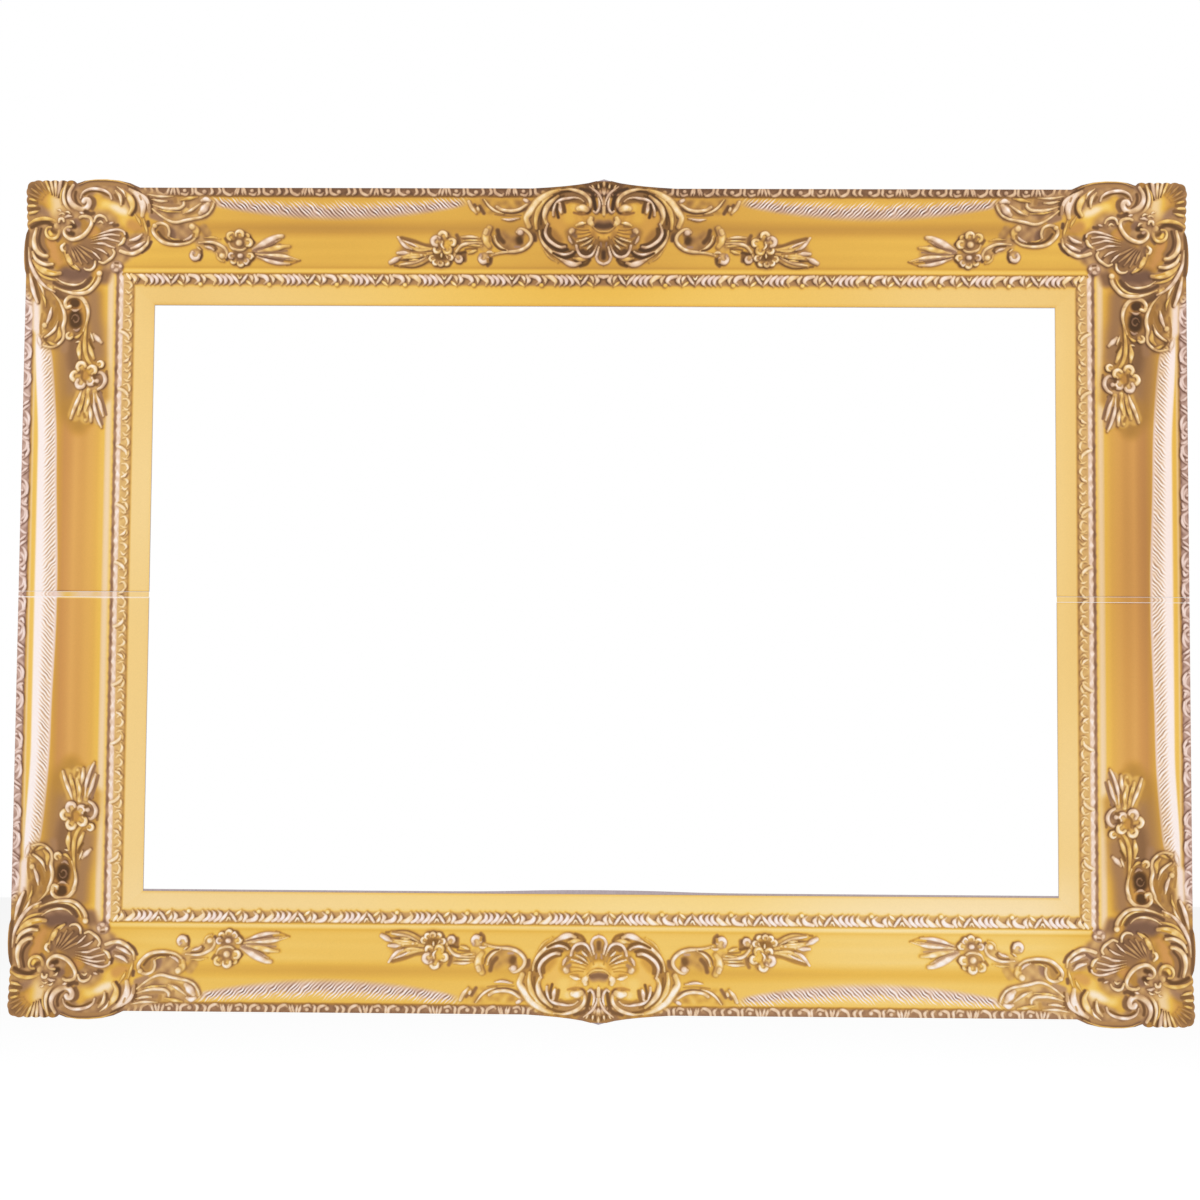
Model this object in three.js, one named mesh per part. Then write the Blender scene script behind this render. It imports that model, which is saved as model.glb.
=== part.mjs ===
// Photo booth frame: a die-cut board with a printed picture of a gilt frame on its face.
// Each half is a grey board between a printed face paper and a plain backing paper. The two
// halves fold back to back on paper hinge strips that bridge a gap between the boards.
// Millimetres, +Z up, the printed face looks along -Y, the origin is the middle of the card.

import * as THREE from 'three';

// Card and window, between the straight edges of the rails
const cardWidth = 851;
const cardHeight = 602;
const windowWidth = 660;
const windowHeight = 427;

// Sheets that are glued into the board
const facePaper = 0.3;
const coreBoard = 1.6;
const backPaper = 0.3;
const glueLine = 0.05;

// Fold: room left between the folded backs, and the slit at each score line
const foldRoom = 0.7;
const scoreSlit = 0.3;

// Pointed crest in the middle of the top and bottom rails
const crestRise = 7;
const crestHalfWidth = 53;

// Fan of rays at each corner: its reach along both edges, how far it stands outside the rails
const fanTopLength = 35;
const fanTopRise = 4.4;
const fanSideLength = 31;
const fanSideRise = 0.4;
const fanCornerRound = 5;
const rayCount = 5;
const rayDepth = 0.9;

// Scroll lobes beside the fan, on the top or bottom edge and on the side edge
const topLobeLength = 48;
const topLobeRise = 5.8;
const sideLobeLength = 34;
const sideLobeRise = 2;
const lobeNotch = 1.4;

// The lower sight edge: the board bows up a little and shows as a line past the print
const sightBowRise = 1.6;
const sightBowHalfWidth = 110;
const sightLine = 1.4;

const pointsPerCurve = 6;

// Places worked out from the sizes above
const sideEdge = cardWidth / 2;
const railEdge = cardHeight / 2;
const windowSide = windowWidth / 2;
const windowEdge = windowHeight / 2;
const thickness = facePaper + coreBoard + backPaper + 2 * glueLine;
const stripThickness = facePaper + glueLine + backPaper;
const foldGap = 2 * (thickness - stripThickness) + foldRoom;
const panelStart = foldGap / 2 + scoreSlit / 2;
const stripEnd = foldGap / 2 - scoreSlit / 2;
const frontPlane = -thickness / 2;

// Adds a row of small outward scallops from the path's end to a point.
function addScallops(path, end, count, depth) {
  const start = path.currentPoint.clone();
  const outward = new THREE.Vector2(end.y - start.y, start.x - end.x).normalize();
  for (let ray = 0; ray < count; ray++) {
    const middle = start.clone().lerp(end, (ray + 0.5) / count).addScaledVector(outward, 2 * depth);
    const tip = start.clone().lerp(end, (ray + 1) / count);
    path.quadraticCurveTo(middle.x, middle.y, tip.x, tip.y);
  }
}

// Outer edge of one quarter, from the fold up the side, round the corner and in to the crest.
function quarterOutline() {
  const fanSide = sideEdge + fanSideRise;
  const fanTop = railEdge + fanTopRise;
  const fanLow = railEdge - fanSideLength;
  const fanIn = sideEdge - fanTopLength;
  const sideLobe = sideEdge + sideLobeRise * 4 / 3;
  const topLobe = railEdge + topLobeRise * 4 / 3;
  const path = new THREE.Path();
  path.moveTo(sideEdge, panelStart);
  path.lineTo(sideEdge, fanLow - sideLobeLength);
  path.bezierCurveTo(
    sideLobe, fanLow - sideLobeLength * 0.85,
    sideLobe, fanLow - sideLobeLength * 0.15,
    fanSide - lobeNotch, fanLow,
  );
  addScallops(path, new THREE.Vector2(fanSide, fanTop - fanCornerRound), rayCount, rayDepth);
  path.quadraticCurveTo(fanSide, fanTop, fanSide - fanCornerRound, fanTop);
  addScallops(path, new THREE.Vector2(fanIn, fanTop), rayCount, rayDepth);
  path.lineTo(fanIn - lobeNotch, fanTop - lobeNotch);
  path.bezierCurveTo(
    fanIn - topLobeLength * 0.2, topLobe,
    fanIn - topLobeLength * 0.75, topLobe,
    fanIn - topLobeLength, railEdge,
  );
  path.lineTo(crestHalfWidth, railEdge);
  path.quadraticCurveTo(crestHalfWidth * 0.25, railEdge + crestRise * 0.3, 0, railEdge + crestRise);
  return path.getPoints(pointsPerCurve);
}

// Window edge of one quarter, from the middle of the rail out to the corner and down to the fold.
function quarterSight(bowRise, setBack) {
  const sight = windowEdge + setBack;
  const path = new THREE.Path();
  path.moveTo(0, sight - bowRise);
  if (bowRise > 0) {
    const bend = sightBowHalfWidth / 2;
    path.bezierCurveTo(bend, sight - bowRise, bend, sight, sightBowHalfWidth, sight);
  }
  path.lineTo(windowSide, sight);
  path.lineTo(windowSide, panelStart);
  return path.getPoints(pointsPerCurve);
}

// One half of the card, as a U that stands on the fold. side is 1 for the upper half, -1 for the lower.
function halfShape(side, bowRise, setBack) {
  const outer = quarterOutline();
  const inner = quarterSight(bowRise, setBack);
  const mirror = (points) => points.map((p) => new THREE.Vector2(-p.x, p.y)).reverse();
  const loop = [...outer, ...mirror(outer).slice(1), ...mirror(inner), ...inner.slice(1)];
  return new THREE.Shape(loop.map((p) => new THREE.Vector2(p.x, p.y * side)));
}

// A hinge strip across one side rail. side is 1 for the right rail, -1 for the left.
function stripShape(side) {
  const corners = [[windowSide, -stripEnd], [sideEdge, -stripEnd], [sideEdge, stripEnd], [windowSide, stripEnd]];
  return new THREE.Shape(corners.map(([x, z]) => new THREE.Vector2(x * side, z)));
}

// A flat sheet cut to a shape, depth behind the card's front plane.
function sheet(name, shape, depth, sheetThickness, finish) {
  const geometry = new THREE.ExtrudeGeometry(shape, { depth: sheetThickness, bevelEnabled: false });
  geometry.rotateX(Math.PI / 2);
  geometry.translate(0, frontPlane + depth + sheetThickness, 0);
  const mesh = new THREE.Mesh(geometry, new THREE.MeshStandardMaterial(finish));
  mesh.name = name;
  return mesh;
}

const printFinish = { color: 0xc8963e, roughness: 0.45, metalness: 0 };
const boardFinish = { color: 0x9a928c, roughness: 0.95, metalness: 0 };
const backingFinish = { color: 0xebe7df, roughness: 0.85, metalness: 0 };

const boardDepth = facePaper + glueLine;
const backingDepth = boardDepth + coreBoard + glueLine;
const stripBackDepth = facePaper + glueLine;

const frame = new THREE.Group();

// Upper half
const upperShape = halfShape(1, 0, 0);
frame.add(sheet('upper_print', upperShape, 0, facePaper, printFinish));
frame.add(sheet('upper_board', upperShape, boardDepth, coreBoard, boardFinish));
frame.add(sheet('upper_backing', upperShape, backingDepth, backPaper, backingFinish));

// Lower half: the print is trimmed back from the board along the sight edge
const lowerPrintShape = halfShape(-1, 0, sightLine);
const lowerShape = halfShape(-1, sightBowRise, 0);
frame.add(sheet('lower_print', lowerPrintShape, 0, facePaper, printFinish));
frame.add(sheet('lower_board', lowerShape, boardDepth, coreBoard, boardFinish));
frame.add(sheet('lower_backing', lowerShape, backingDepth, backPaper, backingFinish));

// Hinge strips: face paper glued to backing paper across the gap between the boards
for (const [rail, side] of [['left', -1], ['right', 1]]) {
  frame.add(sheet(`${rail}_hinge_face`, stripShape(side), 0, facePaper, printFinish));
  frame.add(sheet(`${rail}_hinge_back`, stripShape(side), stripBackDepth, backPaper, backingFinish));
}

export default frame;
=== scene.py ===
"""Looks of a folding photo booth frame: a die-cut board printed with a gilt scrollwork frame."""

import math

import bpy
import numpy as np
from mathutils import Matrix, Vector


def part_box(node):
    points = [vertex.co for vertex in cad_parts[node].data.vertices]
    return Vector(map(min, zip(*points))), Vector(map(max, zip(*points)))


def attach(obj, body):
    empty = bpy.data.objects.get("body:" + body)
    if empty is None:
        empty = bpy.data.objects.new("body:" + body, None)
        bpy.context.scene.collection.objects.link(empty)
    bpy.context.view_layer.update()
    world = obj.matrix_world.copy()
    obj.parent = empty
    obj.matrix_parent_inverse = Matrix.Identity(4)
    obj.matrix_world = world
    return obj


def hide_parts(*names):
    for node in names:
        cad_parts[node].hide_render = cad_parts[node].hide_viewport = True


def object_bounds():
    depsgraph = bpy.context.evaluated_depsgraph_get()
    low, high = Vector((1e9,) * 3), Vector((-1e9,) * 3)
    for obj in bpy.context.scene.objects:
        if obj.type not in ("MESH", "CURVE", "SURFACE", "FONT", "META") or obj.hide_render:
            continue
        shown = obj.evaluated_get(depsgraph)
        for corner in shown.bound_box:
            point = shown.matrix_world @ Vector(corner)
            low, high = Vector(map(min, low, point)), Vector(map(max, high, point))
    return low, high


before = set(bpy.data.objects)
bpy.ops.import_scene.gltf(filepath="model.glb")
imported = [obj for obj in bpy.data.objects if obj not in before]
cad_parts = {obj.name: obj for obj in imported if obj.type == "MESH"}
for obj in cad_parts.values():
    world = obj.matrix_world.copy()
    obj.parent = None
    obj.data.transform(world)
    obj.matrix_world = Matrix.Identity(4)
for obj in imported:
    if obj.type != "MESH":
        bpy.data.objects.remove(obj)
cad_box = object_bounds()
scene = bpy.context.scene
scene.view_settings.view_transform = "Standard"


# Camera: the photograph was taken from a little below the middle of the card, looking slightly up.
# The place is in metres from the middle of the card, and the turns are in degrees.
camera_place = (0.0330, -1.7404, -0.1225)
camera_pan = -1.116
camera_tilt = 3.955
camera_roll = 0.395
camera_lens = 72.0
camera_sensor = 36.0

camera = bpy.data.objects.new("camera", bpy.data.cameras.new("camera"))
scene.collection.objects.link(camera)
camera.data.sensor_fit = "HORIZONTAL"
camera.data.sensor_width = camera_sensor
camera.data.lens = camera_lens
camera.matrix_world = (
    Matrix.Translation(camera_place)
    @ Matrix.Rotation(math.radians(-camera_pan), 4, "Z")
    @ Matrix.Rotation(math.radians(90 + camera_tilt), 4, "X")
    @ Matrix.Rotation(math.radians(camera_roll), 4, "Z")
)
scene.camera = camera


# Stage: a pale floor well below the held card, two soft lamps above and in front, and a white room.
# What the camera and reflections see of the room is plain white; what lights the card is dimmer.
room_light = 0.68
lamp_power = 24.0
lamp_size = 2.4
lamp_places = ((-1.5, -1.6, 2.1), (1.5, -1.6, 1.9))
floor_drop = 0.25
floor_size = 12.0
floor_grey = (0.88, 0.88, 0.88, 1)
floor_roughness = 0.9
floor_lift = 0.30


def add_node(tree, kind, **settings):
    """A shader node with its properties and unlinked inputs set by name."""
    node = tree.nodes.new(kind)
    for key, value in settings.items():
        if key in node.inputs:
            node.inputs[key].default_value = value
        else:
            setattr(node, key, value)
    return node


world = bpy.data.worlds.new("white_room")
scene.world = world
world.use_nodes = True
room = world.node_tree
room.nodes.clear()
rays = add_node(room, "ShaderNodeLightPath")
seen = add_node(room, "ShaderNodeMath", operation="MAXIMUM")
seen_or_clear = add_node(room, "ShaderNodeMath", operation="MAXIMUM")
strength = add_node(room, "ShaderNodeMapRange")
strength.inputs["To Min"].default_value = room_light
background = add_node(room, "ShaderNodeBackground", Color=(1, 1, 1, 1))
room_out = add_node(room, "ShaderNodeOutputWorld")
room.links.new(rays.outputs["Is Camera Ray"], seen.inputs[0])
room.links.new(rays.outputs["Is Glossy Ray"], seen.inputs[1])
room.links.new(seen.outputs[0], seen_or_clear.inputs[0])
room.links.new(rays.outputs["Is Transmission Ray"], seen_or_clear.inputs[1])
room.links.new(seen_or_clear.outputs[0], strength.inputs["Value"])
room.links.new(strength.outputs["Result"], background.inputs["Strength"])
room.links.new(background.outputs[0], room_out.inputs["Surface"])

for place in lamp_places:
    lamp = bpy.data.objects.new("lamp", bpy.data.lights.new("lamp", "AREA"))
    scene.collection.objects.link(lamp)
    lamp.data.energy = lamp_power
    lamp.data.size = lamp_size
    lamp.location = place
    aim = -lamp.location.normalized()
    lamp.rotation_euler = aim.to_track_quat("-Z", "Y").to_euler()

floor_mesh = bpy.data.meshes.new("floor")
floor_level = cad_box[0][2] - floor_drop
floor_half = floor_size / 2
floor_turns = ((-1, -1), (1, -1), (1, 1), (-1, 1))
floor_corners = [(u * floor_half, v * floor_half, floor_level) for u, v in floor_turns]
floor_mesh.from_pydata(floor_corners, [], [(0, 1, 2, 3)])
floor = bpy.data.objects.new("floor", floor_mesh)
scene.collection.objects.link(floor)
floor_material = bpy.data.materials.new("pale_floor")
floor_material.use_nodes = True
tree = floor_material.node_tree
floor_shader = tree.nodes["Principled BSDF"]
floor_shader.inputs["Base Color"].default_value = floor_grey
floor_shader.inputs["Roughness"].default_value = floor_roughness
floor_shader.inputs["Specular IOR Level"].default_value = 0.0
floor_shader.inputs["Emission Color"].default_value = (1, 1, 1, 1)
floor_rays = add_node(tree, "ShaderNodeLightPath")
floor_glow = add_node(tree, "ShaderNodeMath", operation="MULTIPLY")
floor_glow.inputs[1].default_value = floor_lift
tree.links.new(floor_rays.outputs["Is Camera Ray"], floor_glow.inputs[0])
tree.links.new(floor_glow.outputs[0], floor_shader.inputs["Emission Strength"])
floor_mesh.materials.append(floor_material)


# Printed face: semi-gloss paper with a gilt frame printed and lightly embossed on it, glued to the board.
# One quarter is drawn and mirrored four times. Sizes are in millimetres from the middle of the card, with
# x and z both growing outwards, and the drawn light falls from the outer corner.
window_half_width = 330.0
window_half_height = 213.5
side_edge = 425.5
rail_edge = 301.0
fold_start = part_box("upper_print")[0][2] * 1000
band_repeat = 50.2
rib_fullness = 0.57
rib_least = 0.35
rib_round = 1.5
end_taper = 0.5
end_weakness = 0.8
contact_shadow = 0.26
cast_shadow = 0.94
darkest = 0.08
edge_shade = 0.20
shadow_reach = 3.0
light = np.array([0.78, 0.626])


def smooth_step(low, high, value):
    """0 below low, 1 above high, and a smooth S between them."""
    t = np.clip((value - low) / (high - low), 0, 1)
    return t * t * (3 - 2 * t)


def bump(value, middle, width):
    """A bell that is 1 at the middle and fades over the width."""
    return np.exp(-(((value - middle) / width) ** 2))


def uneven(x, z, size):
    """An uneven swell between about -1 and 1: four crossing sine waves of unlike length."""
    u, v = x / size, z / size
    waves = np.sin(6.1 * u + 1.3 * np.sin(3.7 * v)) + np.sin(5.3 * v + 1.7 * np.sin(4.1 * u + 0.8))
    return (waves + np.sin(3.9 * (u + v) + 2.1) + np.sin(4.7 * (u - v) + 0.4)) / 2.6


def smooth_line(points, spacing=0.45):
    """A smooth line through the points: a cubic between each two, with slopes from their neighbours."""
    p = np.array(points, float)
    if len(p) == 1:
        return p
    p = np.vstack([2 * p[0] - p[1], p, 2 * p[-1] - p[-2]])
    pieces = []
    for before, start, end, after in zip(p[:-3], p[1:-2], p[2:-1], p[3:]):
        count = max(2, int(np.hypot(*(end - start)) / spacing))
        t = np.linspace(0, 1, count, endpoint=False)[:, None]
        bend = 2 * before - 5 * start + 4 * end - after
        twist = 3 * start - before - 3 * end + after
        pieces.append(start + 0.5 * ((end - before) * t + bend * t**2 + twist * t**3))
    return np.vstack(pieces + [p[-2:-1]])


class Plate:
    """Drawn points of one quarter. Each has a tone from 0 dark to 1 pale, a rose share from -1 amber
    through 0 gilt to 1 pinkish, and a relief from 0 flat to 1 fully embossed. Those on the rail, above
    the mitre of the corner, are marked when the mouldings are drawn."""

    def __init__(self, x, z):
        self.x = x
        self.z = z
        self.tone = np.zeros(len(x))
        self.rose = np.zeros(len(x))
        self.relief = np.zeros(len(x))
        self.on_rail = np.zeros(len(x), bool)

    def mix(self, share, tone, rose, found=slice(None)):
        """Paints over all points, or over those found, by a share between 0 and 1."""
        self.tone[found] += share * (tone - self.tone[found])
        self.rose[found] += share * (rose - self.rose[found])

    def near(self, line, reach):
        """Points within reach of a line: their numbers, offsets square to it and shares of its length."""
        low, high = line.min(0) - reach, line.max(0) + reach
        inside = (self.x > low[0]) & (self.x < high[0]) & (self.z > low[1]) & (self.z < high[1])
        found = np.flatnonzero(inside)
        best = np.full(len(found), np.inf)
        nearest = np.zeros(len(found), int)
        for k, (x, z) in enumerate(line):
            gap = (self.x[found] - x) ** 2 + (self.z[found] - z) ** 2
            closer = gap < best
            best[closer] = gap[closer]
            nearest[closer] = k
        kept = best < reach**2
        found, nearest = found[kept], nearest[kept]
        offset = np.stack([self.x[found], self.z[found]], 1) - line[nearest]
        if len(line) > 1:
            slope = np.gradient(line, axis=0)
            length = np.hypot(slope[:, 0], slope[:, 1])
            slope = slope / np.maximum(length, 1e-9)[:, None]
            back = np.where(nearest == 0, 0, -length[nearest] / 2)
            ahead = np.where(nearest == len(line) - 1, 0, length[nearest] / 2)
            slide = np.clip((offset * slope[nearest]).sum(1), back, ahead)
            offset = offset - slide[:, None] * slope[nearest]
        return found, offset, nearest / max(1, len(line) - 1)

    def shade(self, width, tone, rose, points, soft=0.6, grain=0.0):
        """A soft patch along a line, full in the middle and faded out past half its width. The grain
        makes its tone uneven."""
        half = width / 2
        found, offset, _ = self.near(smooth_line(points), half * (1 + soft))
        distance = np.hypot(offset[:, 0], offset[:, 1])
        share = 1 - smooth_step(half * (1 - soft), half * (1 + soft), distance)
        tone = tone + grain * uneven(self.x[found], self.z[found], 8)
        self.mix(share, tone, rose, found)

    def shades(self, *patches, soft=0.6, grain=0.0):
        """Soft patches. Each is its width, its tone, its rose share and its points."""
        for patch in patches:
            self.shade(*patch, soft=soft, grain=grain)

    def rib(self, points, width, ends=(0.6, 0.5), body=0.5, shine=0.3, rose=0.4, cast=0.6, lift=1.0):
        """A rounded rib along a line: a pale crest turned towards the light, a dark edge away from it
        and a shadow beside it. Its width and strength shrink to the shares given for its two ends."""
        half = rib_fullness * width
        found, offset, along = self.near(smooth_line(points), 1.2 * half + shadow_reach)
        if len(found) == 0:
            return
        ways = list(zip(ends, (along, 1 - along)))
        tapers = [end + (1 - end) * smooth_step(0, end_taper, way) for end, way in ways]
        weak = [(1 - end) * (1 - smooth_step(0, 0.6 * end_taper, way)) for end, way in ways]
        reach = np.maximum(half * np.minimum(*tapers), rib_least)
        firm = 1 - end_weakness * np.maximum(*weak)
        distance = np.hypot(offset[:, 0], offset[:, 1])
        facing = (offset @ light) / np.maximum(distance, 1e-6)
        beside = np.maximum(distance - reach, 0)
        shadow = contact_shadow * bump(beside, 0, 0.7)
        shadow = shadow + cast_shadow * bump(beside, 0, 1.2) * np.maximum(-facing, 0)
        self.tone[found] -= firm * cast * shadow * np.clip(self.tone[found] - darkest, 0, 1)
        across = np.minimum(distance / reach, 1.25)
        lit = np.clip((offset / reach[:, None]) @ light, -1.1, 1.1)
        rough = uneven(self.x[found], self.z[found], 7)
        crest = smooth_step(1.05, 0.40, across) * (0.66 + 0.34 * np.clip(lit / 0.6, -1, 1))
        tone = body + shine * (1 + 0.3 * rough) * crest + 0.03 * rough
        tone -= edge_shade * smooth_step(0.55, 1.1, across) * (0.55 - 0.45 * facing)
        cover = (1 - smooth_step(0.80, 1.20, across)) * firm
        self.mix(cover, tone, rose, found)
        dome = lift * np.sqrt(np.clip(1 - across**2, 0, 1)) * np.minimum(reach / rib_round, 1)
        self.relief[found] = np.maximum(self.relief[found], cover * dome)

    def ribs(self, look, *strokes):
        """Ribs of one look. Each stroke is its width, the shares left at its ends, and its points."""
        for width, ends, points in strokes:
            self.rib(points, width, ends, **look)

    def bosses(self, look, *buttons):
        """Raised buttons of one look. Each is its radius, how far and on what bearing in degrees it is
        drawn out, and its centre."""
        for radius, long, bearing, centre in buttons:
            turn = math.radians(bearing)
            reach = np.array([math.cos(turn), math.sin(turn)]) * max(long / 2, 0.05)
            flat_look = dict(look, shine=0.7 * look["shine"], cast=0.4)
            ends = [np.array(centre) - reach, np.array(centre) + reach]
            self.rib(ends, 2 * radius, (1, 1), **flat_look)

    def petals(self, heart, look, *places):
        """Petals round a heart: each is a low button with a rim of the look along its outer side. Each
        place is a radius and a centre."""
        for radius, centre in places:
            outward = math.atan2(centre[1] - heart[1], centre[0] - heart[0])
            self.bosses(dict(GILT, rose=0.5 * look["rose"]), (radius, 0, 0, centre))
            turns = outward + np.radians([-110, -60, 0, 60, 110])
            rim = np.array(centre) + 0.78 * radius * np.stack([np.cos(turns), np.sin(turns)], 1)
            self.rib(rim, 0.75 * radius, (0.7, 0.7), **look)


GILT = dict(body=0.49, shine=0.28, rose=0.22)
STRAW = dict(body=0.53, shine=0.35, rose=0.28)
CREAM = dict(body=0.52, shine=0.45, rose=0.55)
PINK = dict(body=0.53, shine=0.44, rose=0.80)
BRIGHT = dict(body=0.62, shine=0.38, rose=0.45)
BLUSH = dict(body=0.61, shine=0.38, rose=0.80)


def draw_mouldings(plate):
    """Plain mouldings of both rails: a tone for each distance from the window, mitred at the corner."""
    rail_tones = np.array([
        (213.5, 0.64), (214.4, 0.72), (216, 0.765), (225, 0.77), (227.5, 0.75), (229, 0.70),
        (235.5, 0.62), (236.6, 0.38), (237.6, 0.62), (238.6, 0.77), (240, 0.74), (241.6, 0.59),
        (243.2, 0.645), (246, 0.67), (262, 0.68), (265, 0.635), (268, 0.57), (271, 0.55), (274, 0.58),
        (278, 0.64), (287, 0.65), (291, 0.665), (293.4, 0.63), (294.6, 0.36), (296, 0.36), (301, 0.42),
    ])
    side_tones = np.array([
        (330, 0.74), (331.5, 0.77), (334, 0.775), (344, 0.775), (345.2, 0.60), (347, 0.68),
        (351.5, 0.68), (353, 0.74), (356, 0.70), (357.6, 0.34), (358.6, 0.62), (359.2, 0.75),
        (360.4, 0.76), (361.8, 0.80), (363.4, 0.77), (365.2, 0.68), (367.4, 0.665), (370, 0.62),
        (374, 0.605), (378, 0.59), (386, 0.575), (389, 0.545), (394, 0.52), (397, 0.53), (404, 0.62),
        (413, 0.74), (414.6, 0.71), (416.2, 0.69), (417.8, 0.76), (419.4, 0.44), (421, 0.46),
        (425.5, 0.58),
    ])
    side_pinks = np.array([
        (330, 0.25), (344, 0.25), (351.5, 0.1), (353, 0.85), (357, 0.85), (359, 0), (361, 0.5),
        (362.5, 0.6), (364.2, 0.5), (365.4, 0), (368, -0.2), (374, -0.5), (386, -0.7), (394, -0.8),
        (398, -0.2), (416.6, 0), (417.8, 0.5), (419, 0.2),
    ])
    from_window_z = (plate.z - window_half_height) / (rail_edge - window_half_height)
    from_window_x = (plate.x - window_half_width) / (side_edge - window_half_width)
    plate.on_rail = from_window_z > from_window_x
    rail_pink = 0.02 + 0.22 * (1 - smooth_step(226, 230, plate.z)) * smooth_step(60, 300, plate.x)
    side_pink = np.interp(plate.x, *side_pinks.T)
    rail_tone = np.interp(plate.z, *rail_tones.T)
    side_tone = np.interp(plate.x, *side_tones.T)
    plate.tone[:] = np.where(plate.on_rail, rail_tone, side_tone)
    plate.rose[:] = np.where(plate.on_rail, rail_pink, side_pink)
    rail_streaks = bump(plate.z, 259, 18) * uneven(0.03 * plate.x, plate.z, 7)
    side_streaks = bump(plate.x, 382, 12) * uneven(plate.x, 0.02 * plate.z, 11)
    plate.tone += 0.015 * np.where(plate.on_rail, rail_streaks, side_streaks)


def draw_reeds(plate):
    """Bundles of fine slanted reeds along rails and sides, pale and pinkish: a wave across a strip."""
    x, z = plate.x, plate.z
    rail_middle, rail_half, rail_pitch = 196.0, 94.0, 3.1
    side_end, side_middle, side_pitch = 196.0, 405.0, 3.3
    along = np.clip(np.abs((x - rail_middle) / rail_half), 0, 1.3)
    low = 278.6 + 9.5 * along**2
    high = 289.4 + 4.6 * along**2
    across = (z - low) / (high - low)
    rough = uneven(x, z, 8)
    bundle = uneven(x - z, 0.3 * z, 24)
    wave = np.cos(2 * np.pi * (x - z) / rail_pitch + 1.3 * rough)
    frayed = across - 0.24 * wave - 0.10 * bundle
    cover = plate.on_rail * smooth_step(-0.30, 0.20, across) * (1 - smooth_step(0.62, 1.04, frayed))
    cover = cover * (1 - smooth_step(0.90, 1.06, along))
    tone = 0.60 - 0.05 * smooth_step(0.3, 1, across) + 0.06 * bundle
    tone += (0.10 + 0.30 * smooth_step(0, 0.4, across)) * wave * (1 + 0.5 * rough)
    plate.mix(cover, tone, 0.90)

    run = np.clip(z / side_end, 0, 1.1)
    inner = 397 + 2.4 * smooth_step(0.05, 0.5, run) + 26 * np.clip(run - 0.45, 0, 1) ** 2
    inner = inner + 300 * np.clip(run - 0.88, 0, 1) ** 2
    outer = 413.8 + 3.4 * smooth_step(0.55, 0.95, run)
    across = (x - inner) / (outer - inner)
    cover = ~plate.on_rail * smooth_step(-0.03, 0.05, across) * (1 - smooth_step(0.93, 1.06, across))
    cover = cover * (1 - smooth_step(188, 212, z))
    wave = np.cos(2 * np.pi * (z + 1.1 * (x - side_middle)) / side_pitch + 1.1 * rough)
    hatched = smooth_step(0.06, 0.18, across) * (1 - smooth_step(0.46, 0.78, across))
    tone = 0.83 + 0.14 * smooth_step(0.42, 0.74, across) + 0.28 * hatched * wave * (1 + 0.4 * rough)
    tone -= 0.06 * bump(across, 0.30, 0.16) + 0.10 * bump(across, 0.03, 0.04)
    plate.mix(cover, tone, 0.95 - 0.15 * hatched)


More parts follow.
